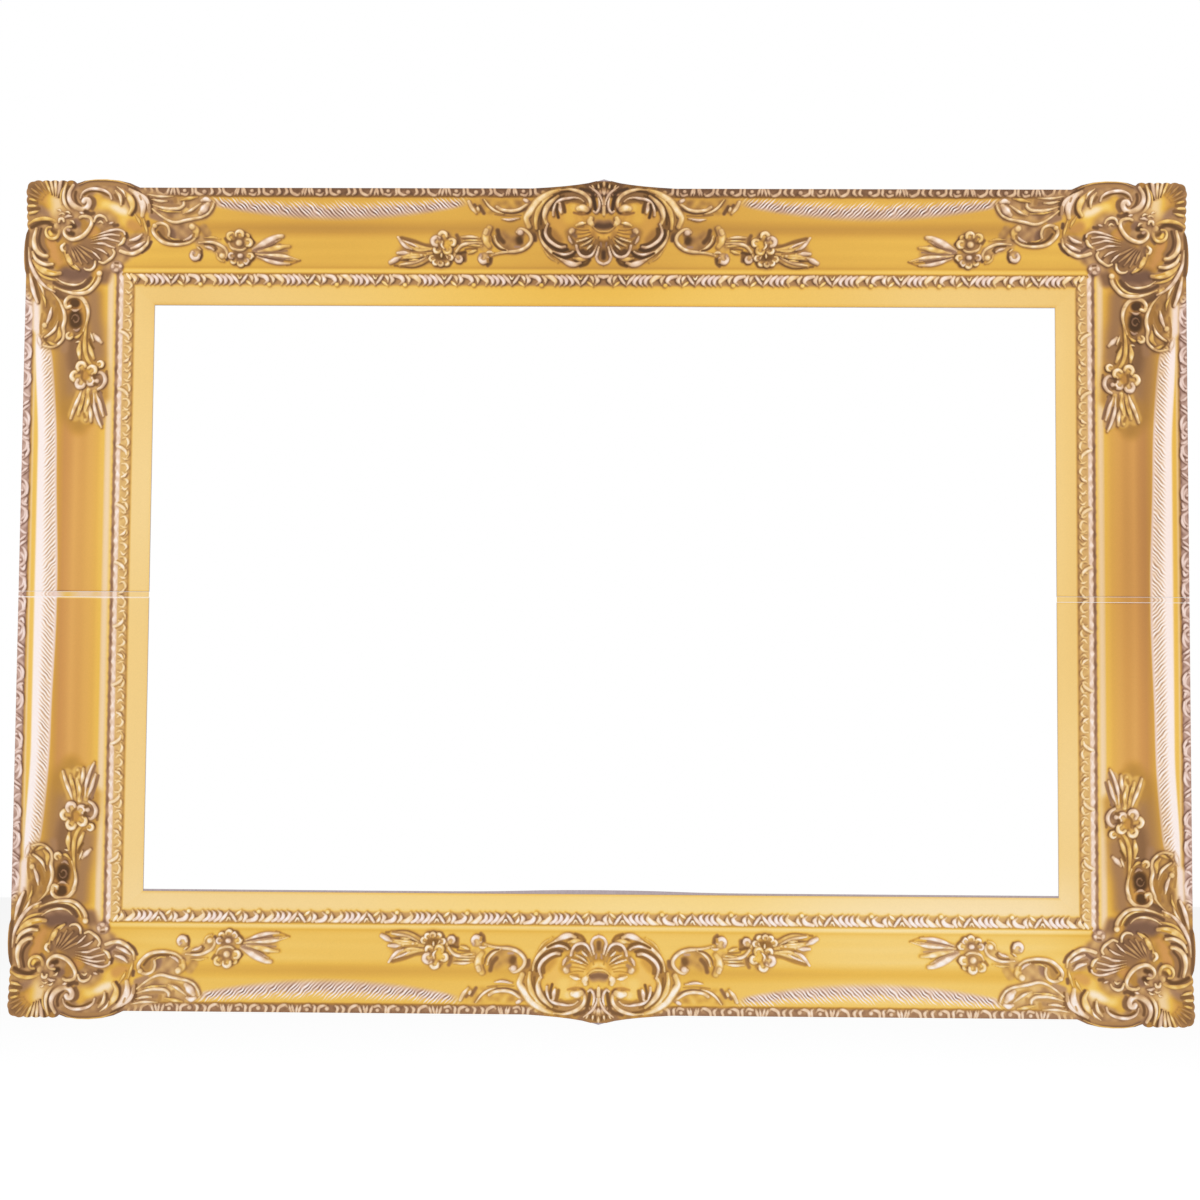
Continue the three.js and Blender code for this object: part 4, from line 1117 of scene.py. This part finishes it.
def draw_corner_shell(plate):
    """Knotted scroll in the crook of the corner, with a shell, a rosette and a ribbed wing."""
    plate.shades(
        (24, 0.42, 0.45, [(392, 274), (382, 270), (370, 272)]),
        (24, 0.44, 0.35, [(388, 254), (374, 256), (364, 260)]),
        (14, 0.46, 0.45, [(362, 246), (350, 256), (342, 261)]),
        soft=0.45, grain=0.08,
    )
    plate.shades(
        (9, 0.52, -0.7, [(379, 268.6), (376, 266)]),
        (8, 0.55, -0.1, [(387, 260), (384, 258)]),
        (12, 0.34, 0.4, [(381, 258), (374, 255)]),
        (12, 0.27, 0.5, [(387, 252), (381, 249.4), (375, 247.6)]),
        (6, 0.44, -0.1, [(385, 275), (383, 272.6)]),
        (5, 0.30, 0.7, [(389.4, 275), (388, 273.6)]),
        (6, 0.44, 0.7, [(353.5, 258.4), (349, 256)]),
        soft=0.6,
    )
    plate.shades(
        (3.6, 0.14, 0.2, [(394, 267), (391.6, 266.2)]),
        (3.4, 0.12, 0.2, [(392.4, 272.4), (390.4, 271.6)]),
        (3.0, 0.18, 0.35, [(382.6, 283), (380, 281.6)]),
        (3.0, 0.22, 0.35, [(379.4, 280.8), (376.6, 281.6)]),
        (3.2, 0.28, 0.45, [(373.6, 277.6), (371, 276.6)]),
        (2.6, 0.22, 0.35, [(361, 272.4), (358.6, 272.8)]),
        (2.6, 0.20, 0.35, [(352, 266.4), (351.2, 263.8)]),
        (2.4, 0.30, 0.5, [(395.4, 257.4), (395, 254.8)]),
        (2.6, 0.20, 0.0, [(392.4, 242.4), (390.6, 240.8)]),
        (2.4, 0.26, 0.7, [(353.8, 258), (349.4, 254.8)]),
        (2.0, 0.26, 0.45, [(366.6, 252), (364.6, 249.6)]),
        (1.5, 0.34, 0.5, [(368.6, 266.2), (363, 267.4), (357.6, 267.2)]),
        (1.5, 0.34, 0.5, [(368.6, 264), (363, 263.8), (357.6, 262.6)]),
        (1.5, 0.34, 0.5, [(368.8, 261), (364, 259.4), (360, 258.2)]),
        (1.6, 0.34, 0.45, [(350, 258.6), (344, 260.2), (339.6, 263.2)]),
        (2.2, 0.24, 0.35, [(340, 252.6), (335.6, 256), (333.4, 260.4)]),
    )
    plate.ribs(
        CREAM,
        (3.1, (0.6, 0.7), [(393, 271.5), (396, 271), (398, 268.5), (397.2, 265), (393.5, 262.4),
                           (389, 262.4), (384, 264.8), (380.4, 268.6), (378.2, 272.8), (377.8, 276),
                           (379.4, 278.6), (384, 279.5), (386.5, 278.5)]),
        (2.2, (0.7, 0.6), [(376, 275.5), (374.5, 279), (371.5, 280), (368, 278.5), (366.5, 276)]),
        (1.6, (0.6, 0.5), [(373, 274.6), (371, 275.4), (369.4, 274.2)]),
        (2.2, (0.8, 0.7), [(361.5, 254.5), (360.5, 252), (362, 249), (365, 246.5), (368.5, 244.5),
                           (371.5, 245.5)]),
        (2.0, (0.8, 0.6), [(374.5, 245.5), (375, 242), (377.5, 239.5), (381, 239.5), (382.5, 240.5)]),
        (1.7, (0.6, 0.6), [(389.5, 243), (388, 241), (386.5, 239.5)]),
        (2.9, (0.9, 0.5), [(356, 253.5), (351.5, 252), (347, 251.5), (343, 253), (339, 256), (336, 259.5),
                           (335.5, 264)]),
    )
    plate.ribs(
        dict(body=0.36, shine=0.20, rose=0.45, cast=0.7, lift=0.5),
        (1.8, (0.2, 0.6), [(388, 258.4), (380.4, 254.4), (373.4, 250.8)]),
        (1.8, (0.2, 0.6), [(389, 257.4), (383, 252.4), (376.6, 247.4)]),
        (1.8, (0.2, 0.6), [(390, 256.6), (385.6, 251), (380.4, 244.8)]),
        (1.8, (0.2, 0.6), [(391.4, 256), (388.2, 250.4), (384.6, 243.8)]),
        (1.8, (0.2, 0.6), [(393, 256), (391.2, 251.6), (388.8, 246.2)]),
    )
    plate.ribs(
        dict(PINK, shine=0.36),
        (1.7, (0.1, 0.8), [(377, 264.6), (368, 267.5), (363, 269), (358, 269.5), (354, 268), (353, 266)]),
        (1.6, (0.1, 0.7), [(378, 262.6), (368.5, 265), (363, 265.8), (357, 265)]),
        (1.6, (0.1, 0.7), [(378, 260.8), (368, 263), (363, 262), (357, 260.5)]),
        (1.6, (0.1, 0.7), [(378, 259), (369, 259), (365, 257.4), (360.6, 256)]),
        (1.5, (0.1, 0.6), [(376, 256), (370, 254), (366, 251.4)]),
        (1.4, (0.1, 0.6), [(378, 254), (374, 250.6), (371, 247.4)]),
        (2.0, (0.7, 0.5), [(397.4, 278.6), (395, 279.6), (392.6, 279.4)]),
        (1.7, (0.7, 0.6), [(386.4, 282.2), (384, 281.6)]),
        (1.6, (0.7, 0.6), [(364.4, 274), (362, 274.8)]),
    )
    plate.ribs(
        BRIGHT,
        (2.3, (0.7, 0.7), [(397.5, 259), (399.7, 256.5), (399, 254), (397, 253)]),
        (2.4, (0.6, 0.9), [(357.4, 257.8), (354.6, 260), (353.4, 262.6)]),
    )
    plate.ribs(
        BLUSH,
        (2.6, (0.6, 0.5), [(348, 255.5), (343, 257.5), (338.5, 260.5)]),
        (2.6, (0.6, 0.5), [(349, 261.5), (344, 263), (340.5, 266)]),
    )
    plate.ribs(
        GILT,
        (2.2, (0.6, 0.7), [(397.2, 252.8), (395.8, 248.6), (393, 244), (389.4, 241), (386.4, 239.4)]),
    )
    plate.ribs(STRAW, (3.7, (0.7, 0.6), [(395, 250), (394, 247), (392, 244)]))
    plate.ribs(
        CREAM,
        (2.2, (0.7, 0.7), [(402, 275), (401.4, 277.2), (399.2, 277.4), (398.4, 275.6)]),
        (1.6, (0.6, 0.5), [(402, 280.6), (400, 281.6), (398, 280.8)]),
        (1.6, (0.7, 0.6), [(393.6, 276), (392, 275.6), (390.8, 274.2)]),
        (1.5, (0.5, 0.6), [(397.6, 282.6), (395.4, 282.6), (394, 281.4)]),
        (1.4, (0.5, 0.5), [(403.6, 284.4), (401.6, 284), (400.6, 283)]),
    )
    plate.bosses(dict(PINK, body=0.50), (3.9, 0.6, 0, (358.6, 241.6)))
    plate.bosses(
        BLUSH,
        (1.3, 0.8, 0, (358.8, 239.4)), (1.2, 0.8, 100, (361.4, 242)), (1.1, 0.4, 60, (355.8, 242.2)),
    )
    plate.shades(
        (2.0, 0.54, 0.8, [(395.4, 269.6), (394.4, 269)]),
        (1.8, 0.28, 0.45, [(359.6, 244.6), (357.6, 244.4)]),
        (1.3, 0.42, 0.6, [(359.4, 241.8), (357.8, 241.4)]),
    )


def draw_quarter(plate):
    """The whole print of one quarter, from the plain mouldings to the ornament that lies on top."""
    draw_mouldings(plate)
    draw_reeds(plate)
    draw_inner_bands(plate)
    draw_outer_bands(plate)
    draw_middle_spray(plate)
    draw_middle_ornament(plate)
    draw_rail_spray(plate)
    draw_side_spray(plate)
    draw_corner_fan(plate)
    draw_corner_volutes(plate)
    draw_corner_shell(plate)


gilt_ramp = np.array([
    (0.00, 54, 34, 16), (0.18, 104, 70, 34), (0.38, 166, 118, 58), (0.54, 210, 157, 66),
    (0.66, 234, 186, 80), (0.76, 244, 205, 112), (0.88, 251, 226, 166), (1.00, 255, 244, 220),
])
rose_ramp = np.array([
    (0.00, 62, 42, 34), (0.18, 112, 80, 64), (0.38, 163, 127, 112), (0.54, 199, 165, 150),
    (0.66, 219, 188, 174), (0.76, 234, 206, 194), (0.88, 248, 227, 219), (1.00, 254, 244, 242),
])
amber_ramp = np.array([
    (0.00, 50, 26, 12), (0.18, 98, 60, 30), (0.38, 161, 108, 62), (0.54, 209, 149, 87),
    (0.66, 231, 174, 106), (0.76, 242, 194, 130), (0.88, 250, 216, 170), (1.00, 255, 240, 222),
])


def ink_colour(tone, rose):
    """Screen colour from 0 to 1 of each point: the gilt ramp at its tone, mixed with the rose ramp by
    a positive rose share and with the amber ramp by a negative one."""
    tone = np.clip(tone, 0, 1)

    def shade_of(ramp):
        return np.stack([np.interp(tone, ramp[:, 0], ramp[:, k]) for k in (1, 2, 3)], -1)

    gilt = shade_of(gilt_ramp)
    pink = np.clip(rose, 0, 1)[..., None] * (shade_of(rose_ramp) - gilt)
    warm = np.clip(-rose, 0, 1)[..., None] * (shade_of(amber_ramp) - gilt)
    return (gilt + pink + warm) / 255


# Grids of the print: the outline is read from the cut sheet, so the print ends where the board does.
# Each quarter is a patch of rail, of corner and of side, and the strip across the fold is one more.
rail_steps = 551
across_rail = 151
side_steps = 381
across_side = 201
corner_steps = 241
up_corner = 221
fold_steps = 9
fold_flat = (3.0, 9.0)
emboss = 0.55
# How far the lower print stops short of the window, so a line of board stands in for shadow there
shadow_line_trim = 1.4
sight_flat = 14.0
sharp_angle = 55.0
map_margin = 0.01
back_spot = 0.004
ink_fleck = 0.06
print_specular = 0.18


def quarter_outline():
    """Cut edge of the upper right quarter in millimetres, from the crest round the corner down to the
    fold: the sheet's outer corners, in order of their bearing from the corner of the window."""
    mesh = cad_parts["upper_print"].data
    points = np.empty(len(mesh.vertices) * 3)
    mesh.vertices.foreach_get("co", points)
    points = np.unique(np.round(points.reshape(-1, 3)[:, [0, 2]] * 1000, 2), axis=0)
    outside = (points[:, 0] > window_half_width + 1) | (points[:, 1] > window_half_height + 1)
    points = points[outside & (points[:, 0] > -0.01)]
    bearing = np.arctan2(points[:, 1] - window_half_height, points[:, 0] - window_half_width)
    return points[np.argsort(-bearing)]


def along_path(path, count):
    """Points at even steps along a path of straight pieces."""
    reach = np.concatenate([[0], np.cumsum(np.hypot(*np.diff(path, axis=0).T))])
    steps = np.linspace(0, reach[-1], count)
    return np.stack([np.interp(steps, reach, path[:, k]) for k in (0, 1)], -1)


def rail_grid(outline):
    """Half of a rail: straight columns from the window up to the cut edge, from the middle of the card
    to the corner of the window."""
    x = np.linspace(0, window_half_width, rail_steps)
    top = outline[:np.argmax(outline[:, 0] > window_half_width) + 1]
    edge = np.interp(x, top[:, 0], top[:, 1])
    share = np.linspace(0, 1, across_rail)[:, None]
    z = window_half_height + share * (edge - window_half_height)
    return np.broadcast_to(x, z.shape), z


def side_grid(low, high, steps):
    """A length of a side rail: straight rows from the window out to the cut edge."""
    x = np.linspace(window_half_width, side_edge, across_side)
    return np.meshgrid(x, np.linspace(low, high, steps))


def corner_grid(outline):
    """The corner block: a patch blended between the lines of the window and the two lengths of cut edge
    that meet at the outer corner."""
    turn = np.argmax(outline @ np.array([1.0, 1.0]))
    upper, outer = outline[:turn + 1], outline[turn:]
    start = np.array([window_half_width, np.interp(window_half_width, upper[:, 0], upper[:, 1])])
    end = np.array([side_edge, window_half_height])
    top = along_path(np.vstack([start, upper[upper[:, 0] > window_half_width]]), corner_steps)
    right = along_path(np.vstack([outer[outer[:, 1] > window_half_height], end])[::-1], up_corner)
    inner = np.array([window_half_width, window_half_height])
    u = np.linspace(0, 1, corner_steps)[None, :, None]
    v = np.linspace(0, 1, up_corner)[:, None, None]
    bottom = inner + u * (end - inner)
    left = inner + v * (start - inner)
    flat = bottom * (1 - v) + top[None] * v + left * (1 - u) + right[:, None] * u
    flat -= inner * (1 - u) * (1 - v) + end * u * (1 - v) + start * (1 - u) * v + top[-1] * u * v
    return flat[..., 0], flat[..., 1]


def painted_light_drift(x, z):
    """Painted uneven light over the card: duller along the top and high on the right side, brighter in the
    middle of the left side and along the bottom, most at its right."""
    on_rails = 1 - smooth_step(310, 380, np.abs(x))
    bottom = smooth_step(-180, -230, z) * on_rails
    dull = smooth_step(180, 230, z) * on_rails * (0.05 + 0.07 * bump(x, 0, 90))
    dull += 0.06 * smooth_step(318, 350, x) * bump(z, 100, 170)
    glow = bottom * (0.045 + 0.06 * smooth_step(-60, 260, x)) + 0.03 * bump(x, -383, 14) * bump(z, 0, 110)
    return glow - dull + 0.012 * uneven(x, z, 160)


def painted_crease_light(x, z, tone, rose):
    """Painted light at the fold. On the left the strip is painted pale with glare in the hollow of the
    rail, with a thin painted shadow line above it and a thin painted highlight line below. The right strip
    lies between two faint brown lines of painted shadow at the board edges."""
    score = 2.0
    glare_tone, white_tone = 0.76, 0.97
    left = x < 0
    out, off_fold = np.abs(x), np.abs(z)
    strip = 1 - smooth_step(score - 0.1, score + 0.1, off_fold)
    panel_edge = bump(off_fold, score + 0.2, 0.6) * (off_fold > score)
    hollow = smooth_step(352, 366, out) * (1 - smooth_step(398, 412, out))
    # Painted glare on the left fold strip, strongest in the hollow of the rail
    painted_glare = left * strip * (0.08 + 0.62 * hollow) * (1 + 0.2 * uneven(x, z, 13))
    # Painted highlight along the edge of the lower board on the left
    highlight_line = left * panel_edge * (z < 0) * (0.25 + 0.45 * smooth_step(338, 352, out))
    # Painted shadow along the board edges: above the strip on the left, on both sides of it on the right
    dark_line = panel_edge * np.where(left, (z > 0) * 0.8, 0.5) * (0.85 + 0.3 * uneven(x, 0 * z, 30))
    tone = tone + painted_glare * (glare_tone - tone)
    tone = tone + highlight_line * (white_tone - tone)
    tone = tone - dark_line * 0.20 * (1 - smooth_step(400, 414, out))
    return tone, rose + np.clip(painted_glare + highlight_line, 0, 1) * (1 - rose)


def printed_sheet(name, x, z, tone, rose, relief, nodes, body, crossed=False):
    """A closed sheet over a grid: the front is pushed out by the relief, the back is flat, and a rim
    joins them. The map of the front is the grid itself. A crossed sheet splits its squares on the other
    diagonal, so that the split lies along the hatching of the print."""
    low, high = (np.array(corner) * 1000 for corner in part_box(nodes[0]))
    rows, columns = x.shape
    rim_fade = np.ones_like(x)
    for edge in (rim_fade, rim_fade[::-1]):
        edge[:3] *= np.array([0, 0.4, 0.8])[:, None]
    front = np.stack([x, low[1] - emboss * relief * rim_fade, z], -1).reshape(-1, 3)
    number = np.arange(rows * columns).reshape(rows, columns)
    loop = np.concatenate([number[0, :-1], number[:-1, -1], number[-1, :0:-1], number[:0:-1, 0]])
    back = front[loop]
    back[:, 1] = high[1]
    ring = rows * columns + np.arange(len(loop))
    quads = np.stack([number[:-1, :-1], number[:-1, 1:], number[1:, 1:], number[1:, :-1]], -1)
    quads = quads.reshape(-1, 4)
    if crossed:
        quads = np.roll(quads, 1, axis=1)
    walls = np.stack([np.roll(loop, -1), loop, ring, np.roll(ring, -1)], -1)
    corners = np.concatenate([quads.ravel(), walls.ravel(), ring[::-1]])
    sizes = np.concatenate([np.full(len(quads) + len(walls), 4), [len(ring)]])
    mesh = bpy.data.meshes.new(name)
    points = np.concatenate([front, back]) / 1000
    mesh.vertices.add(len(points))
    mesh.vertices.foreach_set("co", points.ravel())
    mesh.loops.add(len(corners))
    mesh.loops.foreach_set("vertex_index", corners)
    mesh.polygons.add(len(sizes))
    mesh.polygons.foreach_set("loop_start", np.concatenate([[0], np.cumsum(sizes)[:-1]]))
    mesh.update(calc_edges=True)
    mesh.shade_smooth()
    mesh.set_sharp_from_angle(angle=math.radians(sharp_angle))

    map_across = np.linspace(map_margin, 1 - map_margin, columns)
    map_up = np.linspace(map_margin, 1 - map_margin, rows)
    spread = np.stack(np.meshgrid(map_across, map_up), -1).reshape(-1, 2)
    spread = np.concatenate([spread, spread[loop]])[corners]
    spread[-len(ring):] = back_spot
    mesh.uv_layers.new(name="OFBake").uv.foreach_set("vector", spread.ravel())
    # Painted uneven light over the card, and painted glare and shadow at the fold, are mixed into the ink
    tone, rose = painted_crease_light(x, z, tone + painted_light_drift(x, z), rose)
    screen = ink_colour(tone, rose).reshape(-1, 3)
    linear = np.where(screen <= 0.04045, screen / 12.92, ((screen + 0.055) / 1.055) ** 2.4)
    ink = np.ones((len(points), 4))
    ink[:, :3] = np.concatenate([linear, linear[loop]])
    mesh.color_attributes.new("ink", "FLOAT_COLOR", "POINT").data.foreach_set("color", ink.ravel())
    mesh.materials.append(print_material)
    piece = bpy.data.objects.new(name, mesh)
    scene.collection.objects.link(piece)
    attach(piece, body)
    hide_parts(*nodes)


def paper_grain():
    """Node group of paper: a fine fleck for the colour, a cloud for the gloss and a height of the
    fibres, all around 0.5."""
    group = bpy.data.node_groups.new("paper_grain", "ShaderNodeTree")
    group.interface.new_socket("Fibre Size", in_out="INPUT", socket_type="NodeSocketFloat")
    for label in ("Fleck", "Cloud", "Fibre"):
        group.interface.new_socket(label, in_out="OUTPUT", socket_type="NodeSocketFloat")
    inlet = add_node(group, "NodeGroupInput")
    outlet = add_node(group, "NodeGroupOutput")
    place = add_node(group, "ShaderNodeTexCoord")
    fleck = add_node(group, "ShaderNodeTexNoise", Detail=3.0)
    cloud = add_node(group, "ShaderNodeTexNoise", Scale=26.0, Detail=4.0)
    stretch = add_node(group, "ShaderNodeMapping")
    stretch.inputs["Scale"].default_value = (1.0, 1.0, 0.45)
    fibre = add_node(group, "ShaderNodeTexNoise", Detail=5.0, Roughness=0.65)
    group.links.new(place.outputs["Object"], fleck.inputs["Vector"])
    group.links.new(place.outputs["Object"], cloud.inputs["Vector"])
    group.links.new(place.outputs["Object"], stretch.inputs["Vector"])
    group.links.new(stretch.outputs["Vector"], fibre.inputs["Vector"])
    group.links.new(inlet.outputs["Fibre Size"], fleck.inputs["Scale"])
    group.links.new(inlet.outputs["Fibre Size"], fibre.inputs["Scale"])
    group.links.new(fleck.outputs["Fac"], outlet.inputs["Fleck"])
    group.links.new(cloud.outputs["Fac"], outlet.inputs["Cloud"])
    group.links.new(fibre.outputs["Fac"], outlet.inputs["Fibre"])
    return group


grain_group = paper_grain()


def paper_material(name, fibre_size, roughness, bump_height):
    """A paper or board finish with grain in its gloss and surface. The caller joins on its colour."""
    material = bpy.data.materials.new(name)
    material.use_nodes = True
    tree = material.node_tree
    shader = tree.nodes["Principled BSDF"]
    grain = add_node(tree, "ShaderNodeGroup", node_tree=grain_group)
    grain.inputs["Fibre Size"].default_value = fibre_size
    gloss = add_node(tree, "ShaderNodeMapRange")
    gloss.inputs["From Min"].default_value = 0.3
    gloss.inputs["From Max"].default_value = 0.7
    gloss.inputs["To Min"].default_value = roughness[0]
    gloss.inputs["To Max"].default_value = roughness[1]
    height = add_node(tree, "ShaderNodeBump", Strength=0.6, Distance=bump_height)
    tree.links.new(grain.outputs["Cloud"], gloss.inputs["Value"])
    tree.links.new(gloss.outputs["Result"], shader.inputs["Roughness"])
    tree.links.new(grain.outputs["Fibre"], height.inputs["Height"])
    tree.links.new(height.outputs["Normal"], shader.inputs["Normal"])
    return material, tree, shader, grain


print_material, tree, shader, grain = paper_material(
    "printed_paper", fibre_size=1400, roughness=(0.40, 0.52), bump_height=0.00003,
)
ink_node = add_node(tree, "ShaderNodeVertexColor", layer_name="ink")
fleck_range = add_node(tree, "ShaderNodeMapRange")
fleck_range.inputs["To Min"].default_value = 1 - ink_fleck
fleck_range.inputs["To Max"].default_value = 1 + ink_fleck
fleck_mix = add_node(tree, "ShaderNodeVectorMath", operation="MULTIPLY")
tree.links.new(grain.outputs["Fleck"], fleck_range.inputs["Value"])
tree.links.new(ink_node.outputs["Color"], fleck_mix.inputs[0])
tree.links.new(fleck_range.outputs["Result"], fleck_mix.inputs[1])
tree.links.new(fleck_mix.outputs["Vector"], shader.inputs["Base Color"])
shader.inputs["Specular IOR Level"].default_value = print_specular

outline = quarter_outline()
fold_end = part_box("left_hinge_face")[1][2] * 1000
grids = {
    "rail": rail_grid(outline),
    "corner": corner_grid(outline),
    "side": side_grid(fold_start, window_half_height, side_steps),
    "fold": side_grid(-fold_end, fold_end, fold_steps),
}
plate = Plate(*(np.concatenate([grid[k].ravel() for grid in grids.values()]) for k in (0, 1)))
plate.z = np.abs(plate.z)
draw_quarter(plate)
layers = (plate.tone, plate.rose, plate.relief)
drawn = {}
first = 0
for part, (x, z) in grids.items():
    drawn[part] = [values[first:first + x.size].reshape(x.shape) for values in layers]
    first += x.size

for half_name, up in (("upper", 1), ("lower", -1)):
    for side_name, out in (("left", -1), ("right", 1)):
        for part in ("rail", "corner", "side"):
            x, z = grids[part]
            tone, rose, relief = drawn[part]
            # On the lower half the print stops short of the window: a strip of mauve board stands in for
            # shadow there
            trim = 0 if up == 1 else shadow_line_trim
            beside_window = np.clip(1 - (z - window_half_height) / sight_flat, 0, 1)
            z = z + trim * beside_window * (z > window_half_height - 0.01)
            relief = relief * smooth_step(*fold_flat, z)
            turned = [values[:, ::up * out] for values in (out * x, up * z, tone, rose, relief)]
            crossed = (up * out < 0) != (part == "side")
            name = f"{half_name}_{side_name}_{part}_print"
            printed_sheet(name, *turned, [f"{half_name}_print"], f"{half_name}_half", crossed)


# Fold strips: the same printed paper, carried across the gap between the boards on each side rail.
# The strip is scored along both long edges and turns with neither half alone.
for side_name, out in (("left", -1), ("right", 1)):
    x, z = grids["fold"]
    tone, rose, relief = drawn["fold"]
    turned = [values[:, ::out] for values in (out * x, z, tone, rose, 0 * relief)]
    printed_sheet(f"{side_name}_fold_print", *turned, [f"{side_name}_hinge_face"], "hinge_strips")


# Boards: raw grey board, die cut, glued between the papers. Its cut edge shows all round. Along the lower
# sight edge the print is trimmed back so the board shows as a mauve line, which stands in for shadow there.
board_dull = (0.34, 0.275, 0.29, 1)
board_pale = (0.56, 0.48, 0.50, 1)


def dress_solids(nodes, name, dull, pale, specular, **grain_settings):
    """Dresses CAD solids in a paper or board whose colour runs from dull to pale with its fibres."""
    material, tree, shader, grain = paper_material(name, **grain_settings)
    tint = add_node(tree, "ShaderNodeMix", data_type="RGBA")
    tint.inputs["A"].default_value = dull
    tint.inputs["B"].default_value = pale
    tree.links.new(grain.outputs["Fibre"], tint.inputs["Factor"])
    tree.links.new(tint.outputs["Result"], shader.inputs["Base Color"])
    shader.inputs["Specular IOR Level"].default_value = specular
    for node in nodes:
        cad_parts[node].data.materials.clear()
        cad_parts[node].data.materials.append(material)


dress_solids(
    ("upper_board", "lower_board"), "grey_board",
    dull=board_dull, pale=board_pale, specular=0.2,
    fibre_size=700, roughness=(0.82, 0.96), bump_height=0.00012,
)


# Backing: plain matt white paper glued over the back of both boards and across the fold.
# It is uncoated, so it shows soft fibres and a slightly warm tint.
backing_dull = (0.74, 0.71, 0.66, 1)
backing_pale = (0.86, 0.84, 0.80, 1)

dress_solids(
    ("upper_backing", "lower_backing", "left_hinge_back", "right_hinge_back"), "backing_paper",
    dull=backing_dull, pale=backing_pale, specular=0.25,
    fibre_size=420, roughness=(0.74, 0.88), bump_height=0.00006,
)


# The view layer is brought up to date once the card is dressed.
bpy.context.view_layer.update()
